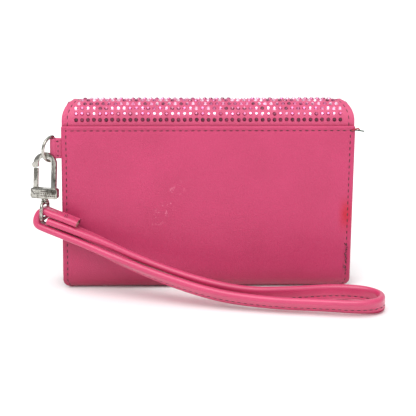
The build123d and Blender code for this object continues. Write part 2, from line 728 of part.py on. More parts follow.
def skin(rings):
    """A closed solid of flat triangles over a row of sections."""
    faces = []
    for ring, following in zip(rings, rings[1:]):
        for i in range(len(ring)):
            j = (i + 1) % len(ring)
            faces.append(Face(Wire.make_polygon([ring[i], ring[j], following[j]])))
            faces.append(Face(Wire.make_polygon([ring[i], following[j], following[i]])))
    for end in (rings[0], rings[-1]):
        faces.append(Face(Wire.make_polygon(end)))
    return Solid(Shell(faces))


def wrist_strap():
    """One leather strap: folded round the swivel's bar, out to the loop and back."""
    points = [Vector(*point) for point in STRAP_ROUTE]
    return skin([strap_section(*station) for station in strap_stations(points)])


def report_strap():
    """Print the strap's arcs, its length and its volume against section times length."""
    points = [Vector(*point) for point in STRAP_ROUTE]
    path = FilletPolyline(*points, radius=corner_radii(points))
    section = STRAP_WIDTH * STRAP_THICKNESS - 2 * STRAP_ROUND**2
    print("strap radii", [round(radius, 1) for radius in corner_radii(points)])
    print("strap length", round(path.length, 1), "section x length", round(section * path.length))


# ---------------------------------------------------------------- all pieces

PIECES = {
    "outer_wrap": outer_wrap,
    "back_panel": back_panel,
    "back_lining": back_lining,
    "front_lining": front_lining,
    "gusset_left": lambda: gusset(-1),
    "gusset_right": lambda: gusset(1),
    "card_slot_tall": lambda: card_slot(0),
    "card_slot_middle": lambda: card_slot(1),
    "card_slot_low": lambda: card_slot(2),
    "coin_pocket": coin_pocket,
    "zip_tape_back": lambda: zip_tape(-1),
    "zip_tape_front": lambda: zip_tape(1),
    "zip_teeth_back": lambda: zip_teeth(-1),
    "zip_teeth_front": lambda: zip_teeth(1),
    "zip_stop_closed": lambda: zip_stop(-1),
    "zip_stop_open": lambda: zip_stop(1),
    "zip_slider": zip_slider,
    "zip_puller": zip_puller,
    "front_magnet": lambda: magnet_at(FRONT_IN, FRONT_IN + MAGNET_THICKNESS),
    "flap_spine": flap_spine,
    "spine_lining": spine_lining,
    "flap_front": flap_front,
    "flap_lining": flap_lining,
    "flap_magnet": lambda: magnet_at(FLAP_IN, FLAP_IN + MAGNET_THICKNESS),
    "strap_tab": strap_tab,
    "d_ring": d_ring,
    "snap_frame": snap_frame,
    "gate_pin": gate_pin,
    "snap_gate": snap_gate,
    "swivel_eye": swivel_eye,
    "wrist_strap": wrist_strap,
}

os.makedirs("parts", exist_ok=True)
for name, build in PIECES.items():
    export_step(build(), f"parts/{name}.step")
report_strap()
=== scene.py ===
"""Looks of the wristlet wallet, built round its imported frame. Metres, +Z up, seen from behind along +Y."""

from __future__ import annotations

import logging
import math
from dataclasses import dataclass, field
from enum import Enum
from typing import Any, Callable, Mapping, Sequence

import bmesh
import bpy
import numpy as np
from mathutils import Matrix, Vector

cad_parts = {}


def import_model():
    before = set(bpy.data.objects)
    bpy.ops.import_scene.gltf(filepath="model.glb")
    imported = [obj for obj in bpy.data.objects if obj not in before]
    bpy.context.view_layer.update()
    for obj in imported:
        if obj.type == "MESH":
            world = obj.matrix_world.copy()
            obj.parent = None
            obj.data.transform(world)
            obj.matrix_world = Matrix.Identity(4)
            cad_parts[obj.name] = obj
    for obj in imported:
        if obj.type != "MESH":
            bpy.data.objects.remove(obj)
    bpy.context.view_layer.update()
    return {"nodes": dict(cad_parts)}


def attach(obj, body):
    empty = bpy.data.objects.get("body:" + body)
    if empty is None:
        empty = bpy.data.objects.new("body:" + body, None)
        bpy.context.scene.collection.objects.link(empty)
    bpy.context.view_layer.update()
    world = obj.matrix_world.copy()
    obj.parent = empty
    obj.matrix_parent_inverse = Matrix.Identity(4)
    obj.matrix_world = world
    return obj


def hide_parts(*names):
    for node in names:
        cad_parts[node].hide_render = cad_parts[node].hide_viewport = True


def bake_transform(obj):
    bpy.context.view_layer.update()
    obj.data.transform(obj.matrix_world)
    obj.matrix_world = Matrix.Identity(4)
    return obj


LOG = logging.getLogger("wristlet")
MM = 0.001
Z_UP = np.array([0.0, 0.0, 1.0])
SEAT = 0.02 * MM
WRAP_STITCH = (2.2 * MM, 0.62 * MM, 0.36 * MM)
FLAP_STITCH = (2.3 * MM, 0.50 * MM, 0.32 * MM)
CARD_STITCH = (1.9 * MM, 0.40 * MM, 0.24 * MM)
TAB_STITCH = (1.5 * MM, 0.42 * MM, 0.28 * MM)
STRAP_STITCH = (2.1 * MM, 0.48 * MM, 0.34 * MM)
STUD = (0.85 * MM, 0.8 * MM, 0.5 * MM)
Colour = tuple[float, float, float]
Relief = Callable[[np.ndarray, np.ndarray], np.ndarray]


# ---------------------------------------------------------------- node graphs


class Wire:
    """A socket that Python's operators work on, each adding its Math node."""

    def __init__(self, graph: Graph, socket: bpy.types.NodeSocket) -> None:
        """Keep the socket and the graph that it belongs to."""
        self.graph = graph
        self.socket = socket

    def __add__(self, other: Wire | float) -> Wire:
        """Sum."""
        return self.graph.math("ADD", self, other)

    def __radd__(self, other: float) -> Wire:
        """Sum with a number on the left."""
        return self.graph.math("ADD", other, self)

    def __sub__(self, other: Wire | float) -> Wire:
        """Difference."""
        return self.graph.math("SUBTRACT", self, other)

    def __rsub__(self, other: float) -> Wire:
        """Difference from a number on the left."""
        return self.graph.math("SUBTRACT", other, self)

    def __mul__(self, other: Wire | float) -> Wire:
        """Product."""
        return self.graph.math("MULTIPLY", self, other)

    def __rmul__(self, other: float) -> Wire:
        """Product with a number on the left."""
        return self.graph.math("MULTIPLY", other, self)

    def __truediv__(self, other: Wire | float) -> Wire:
        """Quotient."""
        return self.graph.math("DIVIDE", self, other)

    def __abs__(self) -> Wire:
        """Size without sign."""
        return self.graph.math("ABSOLUTE", self)

    def ease(self, low: float, high: float) -> Wire:
        """Smooth step from 0 at low to 1 at high."""
        made = self.graph.node(
            "ShaderNodeMapRange",
            {"interpolation_type": "SMOOTHSTEP"},
            {"Value": self, "From Min": low, "From Max": high},
        )
        return self.graph.out(made, "Result")

    def clamp(self) -> Wire:
        """Limit to the range from 0 to 1."""
        return self.graph.out(self.graph.node("ShaderNodeClamp", {}, {"Value": self}))


class Graph:
    """Adds nodes to one tree."""

    def __init__(self, tree: bpy.types.NodeTree) -> None:
        """Keep the tree."""
        self.tree = tree

    def node(
        self, kind: str, settings: Mapping[str, Any] | None = None, inputs: Mapping[Any, Any] | None = None
    ) -> bpy.types.Node:
        """Add one node.

        Args:
            kind: The node's type.
            settings: Properties, set first; "stops" holds a ramp's positions and colours.
            inputs: Values or wires by socket name or number.

        Returns:
            The node.
        """
        made = self.tree.nodes.new(kind)
        for key, value in (settings or {}).items():
            if key == "stops":
                self._stops(made.color_ramp.elements, value)
            else:
                setattr(made, key, value)
        for key, value in (inputs or {}).items():
            self.feed(made.inputs[key], value)
        return made

    @staticmethod
    def _stops(elements: Any, stops: Sequence[tuple[float, Colour]]) -> None:
        """Set a ramp's stops."""
        while len(elements) < len(stops):
            elements.new(0.5)
        for element, (place, colour) in zip(elements, stops):
            element.position = place
            element.color = (*colour, 1.0)

    def feed(self, socket: bpy.types.NodeSocket, value: Any) -> None:
        """Link a wire into a socket, or set the socket's value."""
        if isinstance(value, Wire):
            self.tree.links.new(value.socket, socket)
        elif isinstance(value, tuple) and len(value) == 3 and socket.type == "RGBA":
            socket.default_value = (*value, 1.0)
        else:
            socket.default_value = value

    def out(self, made: bpy.types.Node, key: str | int = 0) -> Wire:
        """One of a node's outputs as a wire."""
        return Wire(self, made.outputs[key])

    def math(self, operation: str, first: Wire | float, second: Wire | float | None = None) -> Wire:
        """Add a Math node."""
        values = {0: first} if second is None else {0: first, 1: second}
        return self.out(self.node("ShaderNodeMath", {"operation": operation}, values))

    def vector(self, operation: str, first: Any, second: Any, key: str = "Vector") -> Wire:
        """Add a Vector Math node."""
        made = self.node("ShaderNodeVectorMath", {"operation": operation}, {0: first, 1: second})
        return self.out(made, key)

    def mix(self, factor: Wire | float, first: Any, second: Any, mode: str = "MIX") -> Wire:
        """Mix two colours."""
        settings = {"data_type": "RGBA", "blend_type": mode, "clamp_factor": True}
        return self.out(self.node("ShaderNodeMix", settings, {0: factor, 6: first, 7: second}), 2)

    def noise(self, coords: Wire, scale: float, detail: float = 2.0, rough: float = 0.5) -> Wire:
        """Add a Noise Texture and give its value."""
        inputs = {"Vector": coords, "Scale": scale, "Detail": detail, "Roughness": rough}
        return self.out(self.node("ShaderNodeTexNoise", {}, inputs), 0)

    def stretched(self, coords: Wire, scale: Sequence[float], turn: Sequence[float] = (0, 0, 0)) -> Wire:
        """Scale and turn the coordinates."""
        made = self.node("ShaderNodeMapping", {}, {"Vector": coords, "Rotation": turn, "Scale": scale})
        return self.out(made)

    def bump(self, height: Wire, distance: float, strength: float = 1.0) -> Wire:
        """Turn a height into a normal."""
        inputs = {"Height": height, "Distance": distance, "Strength": strength}
        return self.out(self.node("ShaderNodeBump", {}, inputs))

    def object_coords(self) -> Wire:
        """The object's own coordinates, in metres."""
        return self.out(self.node("ShaderNodeTexCoord"), "Object")

    def uv(self) -> Wire:
        """The piece's own UV map, in metres along and across it."""
        return self.out(self.node("ShaderNodeUVMap", {"uv_map": Skin.UV_NAME}))


# ---------------------------------------------------------------- finishes


@dataclass(frozen=True)
class Finish:
    """One material. Each kind paints its own nodes."""

    name: str
    slot: str

    def material(self) -> bpy.types.Material:
        """The finish's material, made once."""
        name = f"{self.name}_finish"
        made = bpy.data.materials.get(name)
        if made is None:
            made = bpy.data.materials.new(name)
            made.use_nodes = True
            graph = Graph(made.node_tree)
            shader = made.node_tree.nodes["Principled BSDF"]
            for key, value in self.constants().items():
                graph.feed(shader.inputs[key], value)
            for key, value in self.paint(graph).items():
                graph.feed(shader.inputs[key], value)
        return made

    def constants(self) -> dict[str, Any]:
        """Values set on the shader's own sockets."""
        return {}

    def paint(self, graph: Graph) -> dict[str, Wire]:
        """Wires for the shader's sockets that change over the surface."""
        raise NotImplementedError


@dataclass(frozen=True)
class Leather(Finish):
    """Fine-grained coated leather with soft tone changes and rubbed places."""

    colour: Colour = (0.54, 0.040, 0.136)
    # the deep tone serves the leather's own uneven patches and also painted shade
    deep: Colour = (0.27, 0.010, 0.045)
    rubbed: Colour = (0.80, 0.26, 0.38)
    pebble: float = 0.85 * MM
    relief: float = 0.08 * MM
    roughness: float = 0.42
    coat: float = 0.12

    def constants(self) -> dict[str, Any]:
        """A thin finish coat and a slight sheen over the leather."""
        return {
            "Coat Weight": self.coat,
            "Coat Roughness": 0.35,
            "Sheen Weight": 0.12,
            "Sheen Roughness": 0.4,
            "Specular IOR Level": 0.4,
        }

    def marks(self, graph: Graph, coords: Wire) -> tuple[Wire | float, ...]:
        """How scuffed and how stained the surface is, and how much painted shade darkens it."""
        return 0.0, 0.0, 0.0

    def paint(self, graph: Graph) -> dict[str, Wire]:
        """Pebbled grain, painted shade in the creases between the pebbles, wear, and the painted shade that the marks
        give.
        """
        coords = graph.object_coords()
        drift = graph.noise(coords, 90.0, 2.0)
        bent = graph.vector("ADD", coords, graph.vector("MULTIPLY", self._spread(graph, coords), (0.0006,) * 3))
        cells = graph.node(
            "ShaderNodeTexVoronoi",
            {"feature": "DISTANCE_TO_EDGE"},
            {"Vector": bent, "Scale": 1.0 / self.pebble, "Randomness": 0.9},
        )
        edge = graph.out(cells, "Distance").ease(0.0, 0.22)
        fine = graph.noise(coords, 2.6 / self.pebble, 3.0, 0.6)
        height = edge * 0.7 + fine * 0.45 + drift * 0.5
        worn, stained, painted_bottom_shade = self.marks(graph, coords)
        patches = graph.noise(coords, 34.0, 3.0).ease(0.35, 0.75)
        # painted shade: the creases between the pebbles are darkened a little; the patches are the leather's own
        # uneven tone
        tone = graph.mix(0.12 * (1.0 - edge) + 0.16 * patches, self.colour, self.deep)
        # painted shade from the marks, mixed towards the deep tone
        tone = graph.mix(painted_bottom_shade, tone, self.deep)
        tone = graph.mix(worn, tone, self.rubbed)
        tone = graph.mix(stained, tone, (0.50, 0.004, 0.03))
        rough = fine * 0.16 + graph.noise(coords, 26.0, 2.0) * 0.12 + (self.roughness - 0.14)
        return {"Base Color": tone, "Roughness": rough, "Normal": graph.bump(height, self.relief)}

    @staticmethod
    def _spread(graph: Graph, coords: Wire) -> Wire:
        """A slow vector noise that bends the grain."""
        made = graph.node("ShaderNodeTexNoise", {}, {"Vector": coords, "Scale": 420.0, "Detail": 2.0})
        return graph.out(made, "Color")


@dataclass(frozen=True)
class WornLeatherWithPaintedShade(Leather):
    """The pocket's leather, with scuffs, specks, a rubbed-in stain on one seam, and painted shade towards the bottom.
    """

    def marks(self, graph: Graph, coords: Wire) -> tuple[Wire | float, ...]:
        """Light scuffs near the middle, the stain by the right seam, and painted shade that darkens the leather
        towards the bottom and most where it turns under.
        """
        split = graph.node("ShaderNodeSeparateXYZ", {}, {0: coords})
        x, y, z = (graph.out(split, i) for i in range(3))
        behind = (-1.0 * y).ease(0.008, 0.0105)
        along = (x + 0.0205) / 0.011 - (z - 0.048) / 0.020
        ragged = graph.noise(coords, 420.0, 4.0, 0.7)
        streak = (1.0 - abs(along).ease(0.0, 0.55)) * (1.0 - abs(z - 0.047).ease(0.004, 0.015))
        specks = graph.noise(coords, 760.0, 3.0, 0.75).ease(0.66, 0.74)
        scuff = streak * ragged.ease(0.56, 0.66) * behind * 0.8 + specks * behind * 0.06
        stain = (1.0 - abs(x - 0.0726).ease(0.0, 0.0050)) * (1.0 - abs(z - 0.041).ease(0.0, 0.0125))
        # painted shade: the leather grows a little darker over the lowest 80 mm and much darker in the lowest 14 mm,
        # where it turns under the wallet
        painted_bottom_shade = (1.0 - z.ease(0.0, 0.080)) * 0.16 + (1.0 - z.ease(0.001, 0.014)) * 0.62
        return scuff.clamp(), (stain * behind * (0.6 + ragged * 0.8)).clamp(), painted_bottom_shade.clamp()


@dataclass(frozen=True)
class CutEdge(Finish):
    """Raw cut ends of the strap: leather fibre and board between two finished faces."""

    def paint(self, graph: Graph) -> dict[str, Wire]:
        """Fibrous, uneven brown and pink."""
        coords = graph.object_coords()
        fibre = graph.noise(coords, 2600.0, 4.0, 0.7)
        tone = graph.mix(fibre.ease(0.3, 0.7), (0.30, 0.13, 0.12), (0.60, 0.30, 0.27))
        return {
            "Base Color": tone,
            "Roughness": fibre * 0.2 + 0.7,
            "Normal": graph.bump(fibre, 0.15 * MM),
        }


@dataclass(frozen=True)
class Weave(Finish):
    """Woven cloth, on the piece's UV map."""

    colour: Colour = (0.36, 0.03, 0.10)
    shade: Colour = (0.16, 0.012, 0.045)
    pitch: float = 0.55 * MM
    diagonal: float = 1.0

    def constants(self) -> dict[str, Any]:
        """A dry, slightly fuzzy cloth."""
        return {"Sheen Weight": 0.25, "Sheen Roughness": 0.5, "Specular IOR Level": 0.2}

    def paint(self, graph: Graph) -> dict[str, Wire]:
        """Crossed threads with a diagonal rib."""
        flat = graph.uv()
        split = graph.node("ShaderNodeSeparateXYZ", {}, {0: flat})
        across, along = graph.out(split, 0), graph.out(split, 1)
        turn = 2 * math.pi / self.pitch
        rib = graph.math("SINE", (across + along * self.diagonal) * turn)
        cross = graph.math("SINE", (across * 2.0 - along * self.diagonal) * turn)
        height = (rib * 0.6 + cross * 0.4) * 0.5 + 0.5
        slub = graph.noise(graph.object_coords(), 300.0, 3.0)
        tone = graph.mix((height * 0.7 + slub * 0.4).clamp(), self.shade, self.colour)
        return {
            "Base Color": tone,
            "Roughness": slub * 0.15 + 0.75,
            "Normal": graph.bump(height, 0.12 * MM),
        }


@dataclass(frozen=True)
class Metal(Finish):
    """Plated metal with fine rubbing marks and a little tarnish in the low places."""

    colour: Colour = (0.52, 0.505, 0.46)
    tarnish: Colour = (0.06, 0.055, 0.035)
    roughness: float = 0.11

    def constants(self) -> dict[str, Any]:
        """Solid metal."""
        return {"Metallic": 1.0}

    def paint(self, graph: Graph) -> dict[str, Wire]:
        """Clouded plating with hairline scratches."""
        coords = graph.object_coords()
        cloud = graph.noise(coords, 380.0, 4.0, 0.65)
        hair = graph.noise(graph.stretched(coords, (2600.0, 2600.0, 260.0), (0.3, 0.4, 0.0)), 1.0, 2.0)
        tone = graph.mix(cloud.ease(0.44, 0.72) * 0.85, self.colour, self.tarnish)
        rough = cloud * 0.16 + hair * 0.08 + (self.roughness - 0.06)
        normal = graph.bump(hair * 0.4 + graph.noise(coords, 900.0, 3.0), 0.035 * MM)
        return {"Base Color": tone, "Roughness": rough, "Normal": normal}


@dataclass(frozen=True)
class Thread(Finish):
    """Twisted sewing thread."""

    colour: Colour = (0.030, 0.006, 0.010)
    light: Colour = (0.12, 0.030, 0.045)

    def constants(self) -> dict[str, Any]:
        """A faint silky sheen."""
        return {"Sheen Weight": 0.3, "Specular IOR Level": 0.3}

    def paint(self, graph: Graph) -> dict[str, Wire]:
        """Slanted plies and faded places."""
        coords = graph.object_coords()
        ply = graph.math("SINE", graph.vector("DOT_PRODUCT", coords, (9000.0, 4000.0, 9000.0), "Value"))
        fade = graph.noise(coords, 240.0, 3.0)
        tone = graph.mix((ply * 0.25 + fade.ease(0.4, 0.75) * 0.5 + 0.1).clamp(), self.colour, self.light)
        return {"Base Color": tone, "Roughness": fade * 0.2 + 0.6, "Normal": graph.bump(ply, 0.04 * MM)}


@dataclass(frozen=True)
class FoilStone(Finish):
    """Foil-backed pink cut stone, with painted glints and painted shadowy reflections that differ from stone to
    stone.
    """

    tint: Colour = (0.66, 0.13, 0.32)
    # painted reflections and glint: colours from near-black to pale pink stand in for what the facets mirror
    painted_dim_reflection: Colour = (0.20, 0.02, 0.07)
    painted_black_reflection: Colour = (0.03, 0.004, 0.012)
    painted_glint: Colour = (1.0, 0.60, 0.78)

    def constants(self) -> dict[str, Any]:
        """A clear polished coat over the foil."""
        return {"Coat Weight": 1.0, "Coat Roughness": 0.02, "Coat IOR": 1.6, "Metallic": 0.85}

    def paint(self, graph: Graph) -> dict[str, Wire]:
        """Pink stones with painted glints and painted shadowy reflections picked at random, clouded from facet to
        facet, and the lowest row on the back darkened with a painted reflection.
        """
        spark = graph.out(graph.node("ShaderNodeAttribute", {"attribute_name": Beads.PAINTED_GLINT_PICK}), "Fac")
        cloud = graph.noise(graph.object_coords(), 1300.0, 2.0, 0.6)
        coords = graph.object_coords()
        split = graph.node("ShaderNodeSeparateXYZ", {}, {0: coords})
        # painted reflection: the lowest row of stones on the back of the flap, just above the pocket's edge, is
        # darkened as if its facets mirrored a shadowy room
        low = (1.0 - graph.out(split, 2).ease(0.0928, 0.0938)) * (-1.0 * graph.out(split, 1)).ease(0.0, 0.004)
        place = ((spark * 0.75 + cloud * 0.5 - 0.05) * (1.0 - low * 0.76)).clamp()
        # painted reflections: from near-black through the pink tint to a pale painted glint
        ramp = graph.node(
            "ShaderNodeValToRGB",
            {"stops": [(0.0, self.painted_black_reflection), (0.22, self.painted_dim_reflection), (0.5, self.tint), (0.88, self.painted_glint)]},
            {"Fac": place},
        )
        return {"Base Color": graph.out(ramp, 0), "Roughness": cloud * 0.14 + 0.06}


PINK = Leather("pink_leather", "pink_leather", colour=(0.60, 0.070, 0.175))
POCKET = WornLeatherWithPaintedShade("pocket_leather", "pink_leather")
STRAP = Leather(
    "strap_leather", "strap_leather", colour=(0.60, 0.045, 0.145), roughness=0.30, coat=0.5, relief=0.03 * MM
)
CUT_EDGE = CutEdge("strap_cut_edge", "strap_leather")
LINING = Weave("lining_twill", "lining")
TAPE = Weave("zip_tape_cloth", "zip_tape", colour=(0.40, 0.03, 0.11), pitch=0.7 * MM, diagonal=0.0)
TEETH = Metal("zip_teeth_metal", "zip_teeth", roughness=0.24)
NICKEL = Metal("nickel_plate", "nickel")
# painted shade: the studs' nickel is darkened to stand in for the shade in the block's milled recesses
RECESS_SHADE_STUDS = Metal("nickel_painted_recess_shade", "nickel", colour=(0.20, 0.17, 0.16), roughness=0.3)
MAGNET = Metal("magnet_plate", "magnet", colour=(0.42, 0.42, 0.43), roughness=0.35)
THREAD = Thread("dark_thread", "thread")
GREEN_THREAD = Thread("green_thread", "thread", colour=(0.01, 0.045, 0.02), light=(0.05, 0.11, 0.06))
RED_THREAD = Thread("red_thread", "thread", colour=(0.35, 0.01, 0.03), light=(0.55, 0.05, 0.08))
STONE = FoilStone("pink_stones", "rhinestone")


# ---------------------------------------------------------------- routes and skins


@dataclass
class Route:
    """A path on a surface, with its outward normals, read by length."""

    points: np.ndarray
    normals: np.ndarray

    def __post_init__(self) -> None:
        """Measure the path."""
        steps = np.linalg.norm(np.diff(self.points, axis=0), axis=1)
        self.marks = np.concatenate([[0.0], np.cumsum(steps)])

    @property
    def length(self) -> float:
        """The path's whole length."""
        return float(self.marks[-1])

    def at(self, lengths: np.ndarray) -> tuple[np.ndarray, np.ndarray, np.ndarray]:
        """Read the path.

        Args:
            lengths: Distances along the path, which may run a little past its ends.

        Returns:
            Points, unit normals and unit tangents.
        """
        inside = np.clip(lengths, 0.0, self.length)
        points = np.stack([np.interp(inside, self.marks, self.points[:, k]) for k in range(3)], 1)
        normals = np.stack([np.interp(inside, self.marks, self.normals[:, k]) for k in range(3)], 1)
        step = 0.0002
        ahead, behind = np.clip(inside + step, 0, self.length), np.clip(inside - step, 0, self.length)
        tangents = np.stack(
            [
                np.interp(ahead, self.marks, self.points[:, k]) - np.interp(behind, self.marks, self.points[:, k])
                for k in range(3)
            ],
            1,
        )
        return points + unit(tangents) * (lengths - inside)[:, None], unit(normals), unit(tangents)


def unit(vectors: np.ndarray) -> np.ndarray:
    """Vectors scaled to length 1."""
    return vectors / np.maximum(np.linalg.norm(vectors, axis=-1, keepdims=True), 1e-12)


class Facing(Enum):
    """The plane in which a folded sheet's profile is drawn."""

    SIDE = (1, 2)
    PLAN = (0, 1)


def folded(
    corners: Sequence[tuple[float, float]], radii: Sequence[float], facing: Facing, turn: float = 1.0
) -> Route:
    """A folded sheet's profile: straight stretches joined by round folds.

    Args:
        corners: Points of the profile in its plane.
        radii: The fold's radius at each inner corner.
        facing: The plane.
        turn: 1 where the outside is on the left of the direction of travel, or -1.

    Returns:
        The route with its normals.
    """
    flat = np.array(corners, float)
    points, headings = [], []
    for index, corner in enumerate(flat):
        if index in (0, len(flat) - 1):
            other = flat[1] - flat[0] if index == 0 else flat[-1] - flat[-2]
            points.append(corner)
            headings.append(math.atan2(other[1], other[0]))
            continue
        before, after = unit(corner - flat[index - 1]), unit(flat[index + 1] - corner)
        start = math.atan2(before[1], before[0])
        bend = (math.atan2(after[1], after[0]) - start + math.pi) % (2 * math.pi) - math.pi
        radius = radii[index - 1]
        reach = radius * math.tan(abs(bend) / 2)
        side = math.copysign(1.0, bend)
        centre = corner - before * reach + side * radius * np.array([-before[1], before[0]])
        for share in np.linspace(0, 1, max(4, int(abs(bend) / 0.06))):
            heading = start + bend * share
            points.append(centre + side * radius * np.array([math.sin(heading), -math.cos(heading)]))
            headings.append(heading)
    places, normals = np.zeros((len(points), 3)), np.zeros((len(points), 3))
    for k, axis in enumerate(facing.value):
        places[:, axis] = np.array(points)[:, k]
    aim = np.array(headings)
    for values, axis in zip((-np.sin(aim), np.cos(aim)), facing.value):
        normals[:, axis] = turn * values
    return Route(places, normals)


class Skin:
    """A mesh under construction: closed lofts with metric UVs and material numbers."""

    UV_NAME = "surface"

    def __init__(self) -> None:
        """Start with nothing."""
        self.points: list[np.ndarray] = []
        self.faces: list[list[int]] = []
        self.uvs: list[list[tuple[float, float]]] = []
        self.marks: list[int] = []
        self.count = 0

    @classmethod
    def of(cls, *sheets: Sheet) -> Skin:
        """A skin over sheets, each with its own material number."""
        skin = cls()
        for mark, sheet in enumerate(sheets):
            skin.loft(sheet.rings(), mark)
        return skin

    def _take(self, points: np.ndarray) -> int:
        """Add points and give the number of the first."""
        first = self.count
        self.points.append(points)
        self.count += len(points)
        return first

    def loft(self, rings: np.ndarray, mark: int = 0, cap_mark: int | None = None, closed: bool = False) -> None:
        """Add a closed skin over a row of rings.

        Args:
            rings: Ring points, as rings by points by 3.
            mark: The skin's material number.
            cap_mark: The end faces' material number, the skin's own if None.
            closed: Whether the last ring joins the first, as on a hoop.
        """
        rows, columns, _ = rings.shape
        first = self._take(rings.reshape(-1, 3))
        around = np.linalg.norm(np.roll(rings[rows // 2], -1, 0) - rings[rows // 2], axis=1)
        u = np.concatenate([[0.0], np.cumsum(around)])
        middles = rings.mean(1)
        steps = np.linalg.norm(np.roll(middles, -1, 0) - middles, axis=1)
        v = np.concatenate([[0.0], np.cumsum(steps)])
        for i in range(rows if closed else rows - 1):
            a, b = first + i * columns, first + ((i + 1) % rows) * columns
            for j in range(columns):
                k = (j + 1) % columns
                self.faces.append([a + j, a + k, b + k, b + j])
                self.uvs.append([(u[j], v[i]), (u[j + 1], v[i]), (u[j + 1], v[i + 1]), (u[j], v[i + 1])])
                self.marks.append(mark)
        if closed:
            return
        for i in (0, rows - 1):
            ring = [first + i * columns + j for j in range(columns)]
            self.faces.append(ring[::-1] if i == 0 else ring)
            self.uvs.append([(u[j], v[i]) for j in range(columns)])
            self.marks.append(mark if cap_mark is None else cap_mark)

    def tube(self, centres: np.ndarray, radius: float, sides: int = 12, closed: bool = False) -> None:
        """Add a round tube along a line, with rounded ends where it is open."""
        widths = np.broadcast_to(np.asarray(radius, float), (len(centres),)).copy()
        if closed:
            tangents = unit(np.roll(centres, -1, 0) - np.roll(centres, 1, 0))
        else:
            tangents = unit(np.gradient(centres, axis=0))
            shapes = [(0.05, 1.0), (0.6, 0.8), (0.95, 0.3)]
            head = [centres[0] - tangents[0] * widths[0] * (s - 0.05) for s, _ in reversed(shapes)]
            tail = [centres[-1] + tangents[-1] * widths[-1] * (s - 0.05) for s, _ in shapes]
            ends = ([widths[0] * w for _, w in reversed(shapes)], [widths[-1] * w for _, w in shapes])
            centres = np.concatenate([head, centres[1:-1], tail])
            tangents = np.concatenate([[tangents[0]] * 3, tangents[1:-1], [tangents[-1]] * 3])
            widths = np.concatenate([ends[0], widths[1:-1], ends[1]])
        side = Frames.along(tangents)
        other = np.cross(tangents, side)
        angles = np.linspace(0, 2 * math.pi, sides, endpoint=False)
        rings = (
            centres[:, None]
            + widths[:, None, None]
            * (side[:, None] * np.cos(angles)[None, :, None] + other[:, None] * np.sin(angles)[None, :, None])
        )
        self.loft(rings, closed=closed)

    def lathe(
        self, origin: np.ndarray, axis: np.ndarray, profile: Sequence[tuple[float, float]], sides: int = 28
    ) -> None:
        """Add a turned shape from radius and height pairs along an axis."""
        heights = np.array([h for _, h in profile])
        side = Frames.along(axis[None])[0]
        other = np.cross(axis, side)
        angles = np.linspace(0, 2 * math.pi, sides, endpoint=False)
        circle = side * np.cos(angles)[:, None] + other * np.sin(angles)[:, None]
        rings = np.stack([origin + axis * h + circle * r for (r, _), h in zip(profile, heights)])
        self.loft(rings)

    def build(self, name: str, finishes: Sequence[Finish], sharp: float = 50.0) -> bpy.types.Object:
        """Make the object.

        Args:
            name: The piece's name.
            finishes: Its materials by number.
            sharp: The angle in degrees over which an edge shows.

        Returns:
            The object, at the origin, with every face outward.
        """
        mesh = bpy.data.meshes.new(name)
        mesh.from_pydata(np.concatenate(self.points).tolist(), [], self.faces)
        for finish in finishes:
            mesh.materials.append(finish.material())
        mesh.polygons.foreach_set("material_index", self.marks)
        layer = mesh.uv_layers.new(name=self.UV_NAME)
        layer.data.foreach_set("uv", [value for face in self.uvs for pair in face for value in pair])
        work = bmesh.new()
        work.from_mesh(mesh)
        bmesh.ops.recalc_face_normals(work, faces=work.faces)
        work.to_mesh(mesh)
        work.free()
        return place(name, mesh, finishes[0], sharp)


def place(name: str, mesh: bpy.types.Mesh, finish: Finish, sharp: float = 50.0) -> bpy.types.Object:
    """Link a mesh into the scene as a smooth piece."""
    mesh.shade_smooth()
    mesh.set_sharp_from_angle(angle=math.radians(sharp))
    made = bpy.data.objects.new(name, mesh)
    bpy.context.scene.collection.objects.link(made)
    return made


class Frames:
    """Side directions for tubes."""

    @staticmethod
    def along(tangents: np.ndarray) -> np.ndarray:
        """Side vectors that turn as little as possible from one tangent to the next."""
        start = np.array([1.0, 0, 0]) if abs(tangents[0][0]) < 0.8 else np.array([0, 1.0, 0])
        sides = [unit(np.cross(tangents[0], start))]
        for tangent in tangents[1:]:
            last = sides[-1]
            sides.append(unit(last - tangent * (last @ tangent)))
        return np.array(sides)


def flat(depths: np.ndarray, lengths: np.ndarray) -> np.ndarray:
    """No relief."""
    return np.zeros(np.broadcast(depths, lengths).shape)


def seam_dip(distance: np.ndarray, at: float, depth: float = 0.22 * MM, width: float = 0.75 * MM) -> np.ndarray:
    """The dip that a row of stitches pulls into the leather."""
    return -depth * np.exp(-(((distance - at) / width) ** 2))


def edge_bead(distance: np.ndarray, height: float, level: float, fall: float) -> np.ndarray:
    """A low bead along an edge: level at first, and then falling away."""
    return height * (1 - np.clip((distance - level) / fall, 0, 1))


